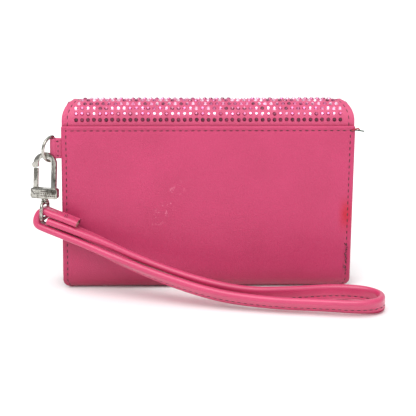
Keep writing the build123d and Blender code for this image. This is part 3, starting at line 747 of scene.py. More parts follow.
@dataclass
class Sheet:
    """A closed sheet of leather or cloth that follows a route, with round edges all round.

    Relief and sway take each point's distance from the nearer side edge and its length along the route. Relief
    shapes the outer face alone, and sway moves both faces.
    """

    route: Route
    across: np.ndarray
    middle: float
    half_width: Callable[[np.ndarray], np.ndarray]
    thickness: float
    relief: Relief = flat
    sway: Relief = flat
    step_along: float = 2.0 * MM
    step_across: float = 3.0 * MM
    round_start: bool = True
    round_end: bool = True
    dense: tuple[float, ...] = ()
    insets: tuple[float, ...] = tuple(MM * d for d in (1.0, 1.5, 2.0, 2.5, 3.0, 3.6, 4.4))

    def stations(self) -> tuple[np.ndarray, np.ndarray, np.ndarray]:
        """Lengths of the rows, how far each edge draws in, and each row's share of the thickness."""
        edge, total = self.thickness / 2, self.route.length
        start = edge if self.round_start else 0.0
        end = total - edge if self.round_end else total
        rows = list(np.linspace(start, end, max(3, int((end - start) / self.step_along) + 1)))
        bends = [m for m in self.route.marks if start < m < end]
        rows = np.array(sorted({round(v, 6) for v in rows + bends + [d for d in self.dense if start < d < end]}))
        keep = np.concatenate([[True], np.diff(rows) > 0.15 * MM])
        rows = rows[keep]
        draw, share = np.zeros(len(rows)), np.ones(len(rows))
        turns = np.radians([35, 62, 82])
        if self.round_start:
            rows = np.concatenate([(start - edge * np.sin(turns))[::-1], rows])
            draw = np.concatenate([(edge * (1 - np.cos(turns)))[::-1], draw])
            share = np.concatenate([np.cos(turns)[::-1], share])
        if self.round_end:
            rows = np.concatenate([rows, end + edge * np.sin(turns)])
            draw = np.concatenate([draw, edge * (1 - np.cos(turns))])
            share = np.concatenate([share, np.cos(turns)])
        return rows, draw, share

    def rings(self) -> np.ndarray:
        """The sheet's closed sections along the route."""
        rows, draw, share = self.stations()
        points, normals, _ = self.route.at(rows)
        half = self.half_width(np.clip(rows, 0, self.route.length)) - draw
        edge = self.thickness / 2
        band = np.array([edge, *[i for i in self.insets if i > edge * 1.2]])
        inner = band[-1]
        count = max(4, int(2 * (half.max() - inner) / self.step_across))
        shares = np.linspace(-1, 1, count + 1)[1:-1]
        left = -(half[:, None] - band[None])
        middle = shares[None] * (half[:, None] - inner)
        x = np.concatenate([left, middle, -left[:, ::-1]], 1)
        depth = np.minimum(half[:, None] - np.abs(x), 1.0)
        along = np.broadcast_to(rows[:, None], x.shape)
        bend = self.sway(depth, along)
        outer = bend + self.relief(depth, along) * share[:, None]
        thin = (1 - share)[:, None] * edge
        top = outer - thin
        bottom = bend - self.thickness + thin
        centre = self.middle + x
        turns = np.radians([60, 25, -25, -60])
        reach = edge * np.cos(turns)[None] * share[:, None]
        lift = -edge + edge * np.sin(turns)[None] * share[:, None]
        right_x = self.middle + half[:, None] - edge + reach
        right_lift = bend[:, -1:] + lift
        left_x = self.middle - half[:, None] + edge - reach[:, ::-1]
        left_lift = bend[:, :1] + lift[:, ::-1]
        places = np.concatenate([centre, right_x, centre[:, ::-1], left_x], 1)
        lifts = np.concatenate([top, right_lift, bottom[:, ::-1], left_lift], 1)
        return points[:, None] + self.across * places[..., None] + normals[:, None] * lifts[..., None]

    def surface(self, places: np.ndarray, lengths: np.ndarray, lift: float = 0.0) -> tuple[np.ndarray, np.ndarray]:
        """Points on the outer face.

        Args:
            places: Distances from the sheet's middle.
            lengths: Distances along the route.
            lift: Height over the face.

        Returns:
            The points and the face's normals there.
        """
        points, normals, _ = self.route.at(lengths)
        depth = self.half_width(np.clip(lengths, 0, self.route.length)) - np.abs(places)
        rise = self.sway(depth, lengths) + self.relief(depth, lengths) + lift
        return points + self.across * (self.middle + places)[:, None] + normals * rise[:, None], normals


def constant(value: float) -> Callable[[np.ndarray], np.ndarray]:
    """A half width that stays the same all along."""
    return lambda lengths: np.full(np.shape(lengths), value)


# ---------------------------------------------------------------- beads on Geometry Nodes


class Bead(Enum):
    """What a row repeats."""

    STITCH = "stitch"
    TOOTH = "tooth"
    STONE = "stone"
    STUD = "stud"


class Beads:
    """Repeats one small shape along paths or on points, with Geometry Nodes."""

    FACING = "facing"
    PAINTED_GLINT_PICK = "spark"
    trees: dict[Bead, bpy.types.NodeTree] = {}

    @classmethod
    def tree(cls, bead: Bead) -> bpy.types.NodeTree:
        """The tree for one kind of bead, made once."""
        if bead in cls.trees:
            return cls.trees[bead]
        tree = bpy.data.node_groups.new(f"{bead.value}_row", "GeometryNodeTree")
        face = tree.interface
        face.new_socket("Geometry", in_out="INPUT", socket_type="NodeSocketGeometry")
        for name in ("Pitch", "Length", "Width", "Height", "Unevenness"):
            face.new_socket(name, in_out="INPUT", socket_type="NodeSocketFloat")
        face.new_socket("Seed", in_out="INPUT", socket_type="NodeSocketInt")
        face.new_socket("Finish", in_out="INPUT", socket_type="NodeSocketMaterial")
        face.new_socket("Geometry", in_out="OUTPUT", socket_type="NodeSocketGeometry")
        graph = Graph(tree)
        entry = graph.node("NodeGroupInput")
        given = {socket.name: Wire(graph, socket) for socket in entry.outputs if socket.name}
        carriers, aim = cls._carriers(graph, bead, given)
        shape = cls._shape(graph, bead, given)
        uneven = graph.node(
            "FunctionNodeRandomValue",
            {"data_type": "FLOAT_VECTOR"},
            {0: (-1.0, -1.0, -1.0), 1: (1.0, 1.0, 1.0), "Seed": given["Seed"]},
        )
        swing = graph.node(
            "ShaderNodeVectorMath", {"operation": "SCALE"}, {0: graph.out(uneven), "Scale": given["Unevenness"]}
        )
        tilt = graph.node("FunctionNodeEulerToRotation", {}, {0: graph.out(swing)})
        turned = graph.node("FunctionNodeRotateRotation", {"rotation_space": "LOCAL"}, {0: aim, 1: graph.out(tilt)})
        spots = graph.node(
            "GeometryNodeInstanceOnPoints", {}, {"Points": carriers, "Instance": shape, "Rotation": graph.out(turned)}
        )
        spark = graph.node(
            "FunctionNodeRandomValue", {"data_type": "FLOAT"}, {2: 0.0, 3: 1.0, "Seed": given["Seed"] + 7.0}
        )
        kept = graph.node(
            "GeometryNodeStoreNamedAttribute",
            {"data_type": "FLOAT", "domain": "INSTANCE"},
            {"Geometry": graph.out(spots), "Name": cls.PAINTED_GLINT_PICK, "Value": graph.out(spark, 1)},
        )
        whole = graph.node("GeometryNodeRealizeInstances", {}, {"Geometry": graph.out(kept)})
        dressed = graph.node(
            "GeometryNodeSetMaterial", {}, {"Geometry": graph.out(whole), "Material": given["Finish"]}
        )
        graph.node("NodeGroupOutput", {}, {0: graph.out(dressed)})
        cls.trees[bead] = tree
        return tree

    @classmethod
    def _carriers(cls, graph: Graph, bead: Bead, given: Mapping[str, Wire]) -> tuple[Wire, Wire]:
        """Points to set beads on, and the rotation of each."""
        named = graph.node("GeometryNodeInputNamedAttribute", {"data_type": "FLOAT_VECTOR"}, {"Name": cls.FACING})
        up = graph.node("FunctionNodeAlignRotationToVector", {"axis": "Z"}, {"Vector": graph.out(named)})
        if bead is Bead.STONE:
            return given["Geometry"], graph.out(up)
        line = graph.node("GeometryNodeMeshToCurve", {}, {"Mesh": given["Geometry"]})
        even = graph.node(
            "GeometryNodeResampleCurve", {"mode": "LENGTH"}, {"Curve": graph.out(line), "Length": given["Pitch"]}
        )
        along = graph.node(
            "FunctionNodeAlignRotationToVector",
            {"axis": "X", "pivot_axis": "Z"},
            {"Rotation": graph.out(up), "Vector": graph.out(graph.node("GeometryNodeInputTangent"))},
        )
        return graph.out(even), graph.out(along)

    @staticmethod
    def _shape(graph: Graph, bead: Bead, given: Mapping[str, Wire]) -> Wire:
        """One bead's own shape, at its real size."""
        size = graph.out(
            graph.node("ShaderNodeCombineXYZ", {}, {0: given["Length"], 1: given["Width"], 2: given["Height"]})
        )
        if bead is Bead.TOOTH:
            block = graph.node("GeometryNodeMeshCube", {}, {"Size": size})
            return graph.out(block)
        if bead is Bead.STONE:
            cut = graph.node(
                "GeometryNodeMeshCone",
                {"fill_type": "NGON"},
                {"Vertices": 8, "Radius Top": 0.27, "Radius Bottom": 0.5, "Depth": 1.0},
            )
        else:
            rings = 5 if bead is Bead.STITCH else 6
            cut = graph.node("GeometryNodeMeshUVSphere", {}, {"Segments": 8, "Rings": rings, "Radius": 0.5})
        fitted = graph.node("GeometryNodeTransform", {}, {"Geometry": graph.out(cut), "Scale": size})
        return graph.out(fitted)

    @classmethod
    def make(
        cls,
        name: str,
        bead: Bead,
        lines: Sequence[tuple[np.ndarray, np.ndarray]],
        finish: Finish,
        size: tuple[float, float, float],
        pitch: float = 1.0 * MM,
        uneven: float = 0.0,
        seed: int = 1,
    ) -> bpy.types.Object:
        """Set beads along lines, or on points for stones.

        Args:
            name: The piece's name.
            bead: The shape.
            lines: Points and facing vectors of each line.
            finish: The beads' finish.
            size: Length, width and height of one bead.
            pitch: Distance from bead to bead along a line.
            uneven: Largest random tilt, in radians.
            seed: Start of the random values.

        Returns:
            A plain mesh piece.
        """
        points = np.concatenate([line for line, _ in lines])
        facing = np.concatenate([aim for _, aim in lines])
        edges, first = [], 0
        for line, _ in lines:
            if bead is not Bead.STONE:
                edges += [(first + i, first + i + 1) for i in range(len(line) - 1)]
            first += len(line)
        carrier = bpy.data.meshes.new(name + "_path")
        carrier.from_pydata(points.tolist(), edges, [])
        carrier.attributes.new(cls.FACING, "FLOAT_VECTOR", "POINT").data.foreach_set("vector", facing.ravel())
        holder = bpy.data.objects.new(name + "_path", carrier)
        bpy.context.scene.collection.objects.link(holder)
        modifier = holder.modifiers.new("beads", "NODES")
        modifier.node_group = cls.tree(bead)
        values = {
            "Pitch": pitch,
            "Length": size[0],
            "Width": size[1],
            "Height": size[2],
            "Unevenness": uneven,
            "Seed": seed,
            "Finish": finish.material(),
        }
        for socket in modifier.node_group.interface.items_tree:
            if socket.in_out == "INPUT" and socket.name in values:
                modifier[socket.identifier] = values[socket.name]
        bpy.context.view_layer.update()
        graph = bpy.context.evaluated_depsgraph_get()
        mesh = bpy.data.meshes.new_from_object(holder.evaluated_get(graph))
        bpy.data.objects.remove(holder)
        mesh.name = name
        return place(name, mesh, finish, 25.0 if bead is Bead.STONE else 70.0)


# ---------------------------------------------------------------- stage


@dataclass(frozen=True)
class Studio:
    """Pale floor, soft light and the camera."""

    azimuth: float = -2.819
    elevation: float = 18.0
    roll: float = 0.666
    distance: float = 0.9
    lens: float = 149.0
    target: tuple[float, float, float] = (0.0001, -0.012, 0.0448)
    floor_reach: float = 6.0
    lamps: tuple[tuple[str, float, float, tuple[float, float, float]], ...] = (
        ("key", 2.1, 55.0, (28.0, -14.0, 0.0)),
        ("fill", 0.55, 70.0, (62.0, 30.0, 0.0)),
    )

    def camera(self) -> None:
        """Set the camera level with the view from behind the wallet."""
        turn, rise, roll = (math.radians(v) for v in (self.azimuth, self.elevation, self.roll))
        back = Vector((math.sin(turn) * math.cos(rise), -math.cos(turn) * math.cos(rise), math.sin(rise)))
        right = Vector((math.cos(turn), math.sin(turn), 0))
        up = back.cross(right)
        level = right * math.cos(roll) + up * math.sin(roll)
        upward = up * math.cos(roll) - right * math.sin(roll)
        data = bpy.data.cameras.new("camera")
        data.lens = self.lens
        data.sensor_width = 36.0
        data.clip_start = 0.01
        made = bpy.data.objects.new("camera", data)
        bpy.context.scene.collection.objects.link(made)
        turn_matrix = Matrix((level, upward, back)).transposed().to_4x4()
        made.matrix_world = Matrix.Translation(Vector(self.target) + back * self.distance) @ turn_matrix
        bpy.context.scene.camera = made

    def floor(self) -> None:
        """A wide pale floor just under the wallet."""
        mesh = bpy.data.meshes.new("floor")
        reach = self.floor_reach
        corners = [(-reach, -reach, 0), (reach, -reach, 0), (reach, reach, 0), (-reach, reach, 0)]
        mesh.from_pydata(corners, [], [(0, 1, 2, 3)])
        paint = bpy.data.materials.new("floor_paper")
        paint.use_nodes = True
        graph = Graph(paint.node_tree)
        shader = paint.node_tree.nodes["Principled BSDF"]
        mottle = graph.noise(graph.object_coords(), 40.0, 2.0)
        graph.feed(shader.inputs["Base Color"], graph.mix(mottle * 0.3, (0.93, 0.93, 0.93), (0.90, 0.90, 0.90)))
        graph.feed(shader.inputs["Roughness"], 0.9)
        graph.feed(shader.inputs["Specular IOR Level"], 0.1)
        mesh.materials.append(paint)
        made = bpy.data.objects.new("floor", mesh)
        bpy.context.scene.collection.objects.link(made)

    def light(self) -> None:
        """A broad soft key from above and behind the camera's left, in a pale room that is darker in front."""
        scene = bpy.context.scene
        scene.view_settings.view_transform = "Standard"
        world = bpy.data.worlds.new("room")
        scene.world = world
        world.use_nodes = True
        graph = Graph(world.node_tree)
        direction = graph.out(graph.node("ShaderNodeTexCoord"), "Generated")
        split = graph.node("ShaderNodeSeparateXYZ", {}, {0: direction})
        up, away = graph.out(split, 2), graph.out(split, 1)
        level = up.ease(-0.1, 0.9) * 0.45 + away.ease(-0.6, 0.5) * 0.35 + 0.28
        backdrop = world.node_tree.nodes["Background"]
        graph.feed(backdrop.inputs["Color"], (1.0, 1.0, 1.0))
        graph.feed(backdrop.inputs["Strength"], level)
        for name, strength, angle, turn in self.lamps:
            sun = bpy.data.lights.new(name, "SUN")
            sun.energy = strength
            sun.angle = math.radians(angle)
            made = bpy.data.objects.new(name, sun)
            made.rotation_euler = tuple(math.radians(v) for v in turn)
            scene.collection.objects.link(made)


# ---------------------------------------------------------------- wrist strap


@dataclass
class WristStrap:
    """One stitched leather strap, from its folded-back end round the swivel's bar, out to the loop and back."""

    width: float = 9.4 * MM
    thickness: float = 3.8 * MM
    stitch_inset: float = 3.6 * MM
    turned_edge: float = 2.2 * MM
    stitch_pitch: float = 3.2 * MM
    length: float = 403.0 * MM
    route: tuple[tuple[float, float, float], ...] = (
        (-0.0675, -0.0199, 0.0394), (-0.0739, -0.0183, 0.0417), (-0.0803, -0.0166, 0.0435),
        (-0.0864, -0.0151, 0.0458), (-0.0894, -0.0154, 0.0380), (-0.0833, -0.0169, 0.0356),
        (-0.0752, -0.0188, 0.0328), (-0.0630, -0.0223, 0.0282), (-0.0460, -0.0280, 0.0215),
        (-0.0240, -0.0345, 0.0140), (0.0040, -0.0420, 0.0070), (0.0320, -0.0480, 0.0052),
        (0.0570, -0.0515, 0.0054), (0.0760, -0.0550, 0.0054), (0.0870, -0.0520, 0.0053),
        (0.0890, -0.0430, 0.0052), (0.0810, -0.0350, 0.0052), (0.0640, -0.0330, 0.0053),
        (0.0420, -0.0360, 0.0052), (0.0180, -0.0370, 0.0058), (-0.0080, -0.0325, 0.0115),
        (-0.0330, -0.0265, 0.0200), (-0.0530, -0.0223, 0.0294), (-0.0672, -0.0201, 0.0349),
        (-0.0763, -0.0182, 0.0381), (-0.0829, -0.0165, 0.0400),
    )
    lean: tuple[int, ...] = (
        7, 7, 7, 7, 7, 7, 9, 20, 36, 46, 50, 50, 50, 56, 66, 78, 86, 88, 82, 68, 52, 36, 18, 9, 7, 7,
    )
    front: tuple[float, float, float] = (-0.241922, -0.970296, 0.0)
    bar: tuple[float, float, float] = (-0.085012, -0.015985, 0.040782)

    def centreline(self) -> np.ndarray:
        """Points along the strap's smooth line."""
        data = bpy.data.curves.new("strap_line", "CURVE")
        data.dimensions = "3D"
        data.resolution_u = 16
        spline = data.splines.new("NURBS")
        spline.points.add(len(self.route) - 1)
        for point, place_ in zip(spline.points, self.route):
            point.co = (*place_, 1.0)
        spline.order_u = 3
        spline.use_endpoint_u = True
        holder = bpy.data.objects.new("strap_line", data)
        bpy.context.scene.collection.objects.link(holder)
        bpy.context.view_layer.update()
        graph = bpy.context.evaluated_depsgraph_get()
        mesh = bpy.data.meshes.new_from_object(holder.evaluated_get(graph))
        points = np.array([v.co for v in mesh.vertices])
        bpy.data.meshes.remove(mesh)
        bpy.data.objects.remove(holder)
        return points[np.concatenate([[True], np.linalg.norm(np.diff(points, axis=0), axis=1) > 1e-6])]

    def frames(self, line: np.ndarray) -> tuple[np.ndarray, np.ndarray]:
        """Width and thickness directions at each point of the line."""
        knots = len(self.route)
        reach = np.linspace(0, knots - 2, len(line))
        own = np.concatenate([[0.0], np.arange(1, knots - 1) - 0.5, [knots - 2.0]])
        turn = np.interp(reach, own, np.radians(self.lean))
        kernel = np.hanning(17) / np.hanning(17).sum()
        turn = np.convolve(np.pad(turn, 8, mode="edge"), kernel, "valid")
        tangents = unit(np.gradient(line, axis=0))
        wide = np.array(self.front) * np.cos(turn)[:, None] + Z_UP * np.sin(turn)[:, None]
        wide = unit(wide - tangents * (wide * tangents).sum(1)[:, None])
        return wide, np.cross(tangents, wide)

    def section(self) -> np.ndarray:
        """The strap's padded section, as width and thickness shares in metres."""
        w, t = self.width / 2, self.thickness / 2
        across = np.concatenate([np.linspace(-w + t * 0.95, w - t * 0.95, 29)])
        crown = t * (0.93 + 0.07 * np.cos(across / w * math.pi / 2))
        crown = crown + seam_dip(across, self.stitch_inset - w, 0.42 * MM, 0.6 * MM)
        crown = crown + seam_dip(across, self.turned_edge - w, 0.34 * MM, 0.28 * MM)
        arc = np.radians([62, 40, 20, 0, -20, -40, -62])
        cap_x, cap_t = across[-1] + t * 0.95 * np.cos(arc), crown[-1] * np.sin(arc)
        right = np.stack([cap_x, cap_t], 1)
        top = np.stack([across, crown], 1)
        mirror = np.array([1.0, -1.0])
        left = right[::-1] * (-1.0, 1.0)
        left[:, 1] = np.sin(arc[::-1]) * crown[0]
        return np.concatenate([top, right, top[::-1] * mirror, left * mirror])

    def build(self) -> None:
        """Make the strap, its stitches and its loose thread ends."""
        line = self.centreline()
        wide, thick = self.frames(line)
        section = self.section()
        rings = line[:, None] + wide[:, None] * section[None, :, :1] + thick[:, None] * section[None, :, 1:]
        skin = Skin()
        skin.loft(rings, 0, cap_mark=1)
        strap = skin.build("strap_leather_loop", (STRAP, CUT_EDGE), 60.0)
        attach(strap, "strap")
        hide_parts("wrist_strap")
        rows = []
        inner = slice(4, -4)
        for face in (-1, 1):
            offset = self.stitch_inset - self.width / 2
            lift = face * (self.thickness / 2 - 0.36 * MM)
            rows.append((line + wide * offset + thick * lift, thick * face))
        stitches = Beads.make(
            "strap_stitches",
            Bead.STITCH,
            [(points[inner], aim[inner]) for points, aim in rows],
            THREAD,
            STRAP_STITCH,
            self.stitch_pitch,
            uneven=0.05,
            seed=11,
        )
        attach(stitches, "strap")
        ends = self.thread_ends(line, wide, thick)
        measured = np.linalg.norm(np.diff(line, axis=0), axis=1).sum()
        LOG.info("wrist strap: %d rings, %.1f mm", len(line), measured / MM)

    def thread_ends(self, line: np.ndarray, wide: np.ndarray, thick: np.ndarray) -> bpy.types.Object:
        """Short cut thread ends where the folded strap is sewn."""
        skin = Skin()
        for index, side, sway in ((8, 1, 0.3), (88, -1, 0.8), (10, 1, -0.5)):
            root = line[index] + wide[index] * side * self.width * 0.42 + thick[index] * self.thickness * 0.45
            aim = unit(wide[index] * side * 0.3 + thick[index] + Z_UP * sway)
            reach = np.linspace(0, 1.7 * MM, 6)[:, None]
            curl = Z_UP * (np.linspace(0, 1, 6)[:, None] ** 2) * 0.5 * MM * sway
            skin.tube(root + aim * reach + curl, 0.16 * MM, 6)
        ends = skin.build("strap_thread_ends", (THREAD,))
        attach(ends, "strap")
        return ends


# ---------------------------------------------------------------- wallet body


@dataclass
class Body:
    """Sizes shared by the wallet's own sheets, and the sheets that stay with it."""

    width: float = 152.0 * MM
    back: float = -12.0 * MM
    front: float = 9.7 * MM
    pocket_height: float = 89.0 * MM
    front_height: float = 84.0 * MM
    leather: float = 1.4 * MM
    bottom_radius: float = 6.0 * MM
    corner: float = 5.0 * MM
    side_stitch: float = 2.5 * MM
    top_stitch: float = 2.4 * MM
    top_bead: tuple[float, float, float] = (0.20 * MM, 1.6 * MM, 0.8 * MM)
    side_bead: tuple[float, float, float] = (0.12 * MM, 1.5 * MM, 0.9 * MM)
    belly: float = 0.75 * MM
    belly_edge: float = 26 * MM
    wave: float = 0.10 * MM
    tail_radius: float = 0.34 * MM
    fray_radius: float = 0.19 * MM
    pitch: float = 3.2 * MM
    across: np.ndarray = field(default_factory=lambda: np.array([1.0, 0, 0]))

    def wrap_half_width(self, lengths: np.ndarray) -> np.ndarray:
        """Half the wrap's width along its fold, drawn in round the bottom corners."""
        _, heights = self.wrap_places(lengths)
        low = np.clip(self.corner - heights, 0, self.corner)
        return self.width / 2 - self.corner + np.sqrt(np.maximum(self.corner**2 - low**2, 0))

    def wrap_route(self) -> Route:
        """The wrap's outer profile, from the pocket's top, under the wallet and up the front."""
        corners = [(self.back, self.pocket_height), (self.back, 0), (self.front, 0), (self.front, self.front_height)]
        return folded(corners, (self.bottom_radius, self.bottom_radius), Facing.SIDE, -1.0)

    def wrap_places(self, lengths: np.ndarray) -> tuple[np.ndarray, np.ndarray]:
        """Depth and height of the wrap's profile."""
        points, _, _ = self.wrap_route().at(np.atleast_1d(lengths))
        return points[:, 1], points[:, 2]

    def wrap_relief(self, depth: np.ndarray, along: np.ndarray) -> np.ndarray:
        """Seam dips, the turned bead along the pocket's edge, and the bead along each side."""
        seams = seam_dip(depth, self.side_stitch) + seam_dip(along, self.top_stitch)
        return seams + edge_bead(along, *self.top_bead) + edge_bead(depth, *self.side_bead)

    def wrap_sway(self, depth: np.ndarray, along: np.ndarray) -> np.ndarray:
        """The pocket's soft belly, and slow waves in the leather."""
        share = np.clip(along / self.pocket_height, 0, 1)
        inside = np.clip(depth / self.belly_edge, 0, 1)
        belly = np.sin(math.pi * share) ** 0.9 * (inside * inside * (3 - 2 * inside)) * self.belly
        wave = self.wave * np.sin(along * 130 + depth * 60) * np.clip(depth / (8 * MM), 0, 1)
        return np.where(along < self.pocket_height, belly + wave * np.sin(math.pi * share), 0.0)

    def wrap(self) -> Sheet:
        """The outer leather: back slip pocket, folded bottom and front panel."""
        top = tuple(MM * d for d in (0.9, 1.3, 1.7, 2.1, 2.4, 2.8, 3.2, 3.8))
        return Sheet(
            self.wrap_route(),
            self.across,
            0.0,
            self.wrap_half_width,
            self.leather,
            self.wrap_relief,
            self.wrap_sway,
            dense=top,
        )

    def build(self) -> None:
        """Make the outer wrap with its stitches and loose threads."""
        wrap = self.wrap()
        skin = Skin.of(wrap)
        outer = skin.build("wrap_leather", (POCKET,))
        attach(outer, "wallet")
        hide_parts("outer_wrap")
        rows = self.seam_lines(wrap)
        stitches = Beads.make(
            "wrap_stitches", Bead.STITCH, rows, THREAD, WRAP_STITCH, self.pitch, 0.10, 3
        )
        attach(stitches, "wallet")
        self.loose_threads(wrap)
        LOG.info("outer wrap: %d faces", len(outer.data.polygons))

    def seam_lines(self, wrap: Sheet) -> list[tuple[np.ndarray, np.ndarray]]:
        """Stitch lines: along the pocket's edge and down both sides, back and front."""
        reach = self.width / 2 - self.side_stitch
        along = np.linspace(-reach, reach, 120)
        rows = [wrap.surface(along, np.full(120, self.top_stitch), -SEAT)]
        total = wrap.route.length
        for side in (-1, 1):
            for start, end in ((self.top_stitch, 87.5 * MM), (total - 82.0 * MM, total - self.top_stitch)):
                lengths = np.linspace(start, end, 120)
                places = side * (self.wrap_half_width(lengths) - self.side_stitch)
                rows.append(wrap.surface(places, lengths, -SEAT))
        return rows

    def loose_threads(self, wrap: Sheet) -> None:
        """The thread tail at the right end of the pocket's edge, and the frayed stitches low on that seam."""
        tail = np.array(
            [(74.0, -12.3, 86.5), (75.6, -12.6, 86.9), (77.0, -12.8, 87.2), (78.6, -12.9, 86.7), (80.2, -13.0, 86.6)]
        )
        red = np.array([(74.3, -12.4, 86.7), (75.8, -12.9, 87.6), (77.0, -13.0, 88.0), (77.9, -12.9, 87.4)])
        for name, points, finish in (("tail", tail, GREEN_THREAD), ("tail_red", red, RED_THREAD)):
            skin = Skin()
            skin.tube(self.smooth(points * MM, 14), self.tail_radius, 7)
            piece = skin.build(f"loose_thread_{name}", (finish,))
            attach(piece, "wallet")
        skin = Skin()
        rng = np.random.default_rng(5)
        for height in np.linspace(9.5, 24.0, 11):
            root = np.array([73.2 + rng.uniform(-0.4, 0.3), -12.25, height])
            bend = np.array([rng.uniform(-0.9, 0.9), -0.35, rng.uniform(0.6, 1.9)])
            points = np.array([root, root + bend * 0.5 + (0, -0.15, 0), root + bend])
            skin.tube(self.smooth(points * MM, 7), self.fray_radius, 6)
        frayed = skin.build("frayed_stitches", (THREAD,))
        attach(frayed, "wallet")

    @staticmethod
    def smooth(points: np.ndarray, count: int) -> np.ndarray:
        """A smooth line through a few points."""
        own = np.linspace(0, 1, len(points))
        wanted = np.linspace(0, 1, count)
        fit = [np.polyfit(own, points[:, k], min(3, len(points) - 1)) for k in range(3)]
        return np.stack([np.polyval(f, wanted) for f in fit], 1)


# ---------------------------------------------------------------- flap


@dataclass
class Flap:
    """The flap: its root in the pocket, the fold over the top and the drop down the front, set with stones."""

    root_out: float = -10.2 * MM
    front: float = 12.0 * MM
    floor: float = 8.0 * MM
    spring: float = 89.0 * MM
    drop: float = 70.0 * MM
    leather: float = 1.2 * MM
    lining: float = 0.6 * MM
    root_half: float = 75.7 * MM
    flap_half: float = 70.0 * MM
    corner: float = 14.0 * MM
    shoulder: float = 2.5 * MM
    stone: float = 2.2 * MM
    stone_rise: float = 0.75 * MM
    pitch: float = 3.13 * MM
    column: float = 3.1 * MM
    first_row: float = 2.97 * MM
    stitch_inset: float = 3.0 * MM
    stitch_pitch: float = 3.2 * MM
    stone_margin: float = 5.6 * MM
    stone_floor: float = 4.2 * MM
    stone_reach: float = 68.2 * MM
    fold_zone: float = 7 * MM
    across: np.ndarray = field(default_factory=lambda: np.array([1.0, 0, 0]))

    @property
    def radius(self) -> float:
        """The arch's outer radius."""
        return (self.front - self.root_out) / 2

    @property
    def top(self) -> float:
        """Length along the flap to the middle of its top."""
        return self.spring - self.floor + math.pi / 2 * self.radius

    def route(self, depth: float = 0.0) -> Route:
        """The flap's profile at a depth under its outer face."""
        radius = self.radius - depth
        back, front, crown = self.root_out + depth, self.front - depth, self.spring + radius
        corners = [(back, self.floor), (back, crown), (front, crown), (front, self.spring - self.drop)]
        return folded(corners, (radius, radius), Facing.SIDE, 1.0)

    def half_width(self, lengths: np.ndarray, inset: float = 0.0, route: Route | None = None) -> np.ndarray:
        """Half the flap's width: drawn in over the shoulder, with round lower corners."""
        own = route or self.route()
        points, _, _ = own.at(np.atleast_1d(lengths))
        behind, height = points[:, 1] < self.root_out + self.radius, points[:, 2]
        low, high = self.spring + self.shoulder, self.spring + self.radius
        share = np.clip((height - low) / (high - low), 0, 1)
        drawn = self.flap_half + (self.root_half - self.flap_half) * np.sqrt(1 - share**2)
        bottom = self.spring - self.drop
        rise = np.clip(self.corner - (height - bottom), 0, self.corner)
        rounded = self.flap_half - self.corner + np.sqrt(np.maximum(self.corner**2 - rise**2, 0))
        return np.where(behind, drawn, rounded) - inset

    def relief(self, depth: np.ndarray, along: np.ndarray) -> np.ndarray:
        """The dip of the stitches round the flap's edge."""
        end = self.route().length - along
        over = np.clip((along - 60 * MM) / (10 * MM), 0, 1)
        return seam_dip(np.minimum(depth, end), self.stitch_inset) * over

    def sheets(self) -> dict[str, list[Sheet]]:
        """Leather and lining of both halves."""
        halves: dict[str, list[Sheet]] = {"back": [], "front": []}
        for depth, thickness, inset, relief in (
            (0.0, self.leather, 0.0, self.relief),
            (self.leather, self.lining, 0.4 * MM, flat),
        ):
            whole = self.route(depth)
            middle = self.spring - self.floor + math.pi / 2 * (self.radius - depth)
            for name, start, end in (("back", 0.0, middle), ("front", middle, whole.length)):
                lengths = np.array([start, *[m for m in whole.marks if start < m < end], end])
                points, normals, _ = whole.at(lengths)
                part = Route(points, normals)
                sheet = Sheet(
                    part,
                    self.across,
                    0.0,
                    lambda s, o=start, w=whole, i=inset: self.half_width(s + o, i, w),
                    thickness,
                    lambda d, s, o=start, r=relief: r(d, s + o),
                    round_start=name == "back",
                    round_end=name == "front",
                    step_along=1.6 * MM,
                    dense=self.corner_rows(part.length) if name == "front" else (),
                )
                halves[name].append(sheet)
        return halves

    def corner_rows(self, total: float) -> tuple[float, ...]:
        """Closer rows where the lower corners curve."""
        return tuple(total - self.corner * (1 - math.cos(a)) for a in np.linspace(0.06, math.pi / 2, 22))

    def build(self) -> None:
        """Make both halves with stitches and stones."""
        halves = self.sheets()
        stood_for = {
            "back": ("back_panel", "back_lining", "flap_spine", "spine_lining"),
            "front": ("flap_front", "flap_lining"),
        }
        for name, sheets in halves.items():
            skin = Skin.of(*sheets)
            piece = skin.build(f"flap_{name}_half", (PINK, LINING))
            self.bend(piece, name)
            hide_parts(*stood_for[name])
            self.stones(name, sheets[0])
            self.stitches(name, sheets[0])
            LOG.info("flap, %s half: %d faces", name, len(piece.data.polygons))

    def bend(self, piece: bpy.types.Object, half: str) -> None:
        """Bake a piece's placement into its mesh."""
        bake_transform(piece)

    def stones(self, half: str, sheet: Sheet) -> None:
        """Rows of stones over the top and down the front."""
        rng = np.random.default_rng(17 if half == "back" else 29)
        start = 0.0 if half == "back" else self.top
        end = self.top if half == "back" else self.route().length
        first = self.spring - self.floor + self.first_row
        places, lengths = [], []
        for row in range(60):
            along = first + row * self.pitch
            if not start <= along < end or along > self.route().length - self.stone_floor:
                continue
            reach = min(self.stone_reach, float(self.half_width(np.array([along]))[0]) - self.stone_margin)
            count = int(2 * reach / self.column)
            x = (np.arange(count + 1) - count / 2) * self.column
            places.append(x + rng.normal(0, 0.07 * MM, len(x)))
            lengths.append(along - start + rng.normal(0, 0.06 * MM, len(x)))
        x, s = np.concatenate(places), np.concatenate(lengths)
        points, normals = sheet.surface(x, s, -0.05 * MM)
        piece = Beads.make(
            f"stones_{half}",
            Bead.STONE,
            [(points, normals)],
            STONE,
            (self.stone, self.stone, self.stone_rise),
            uneven=0.09,
            seed=23,
        )
        self.bend(piece, half)
        LOG.info("stones, %s half: %d", half, len(x))

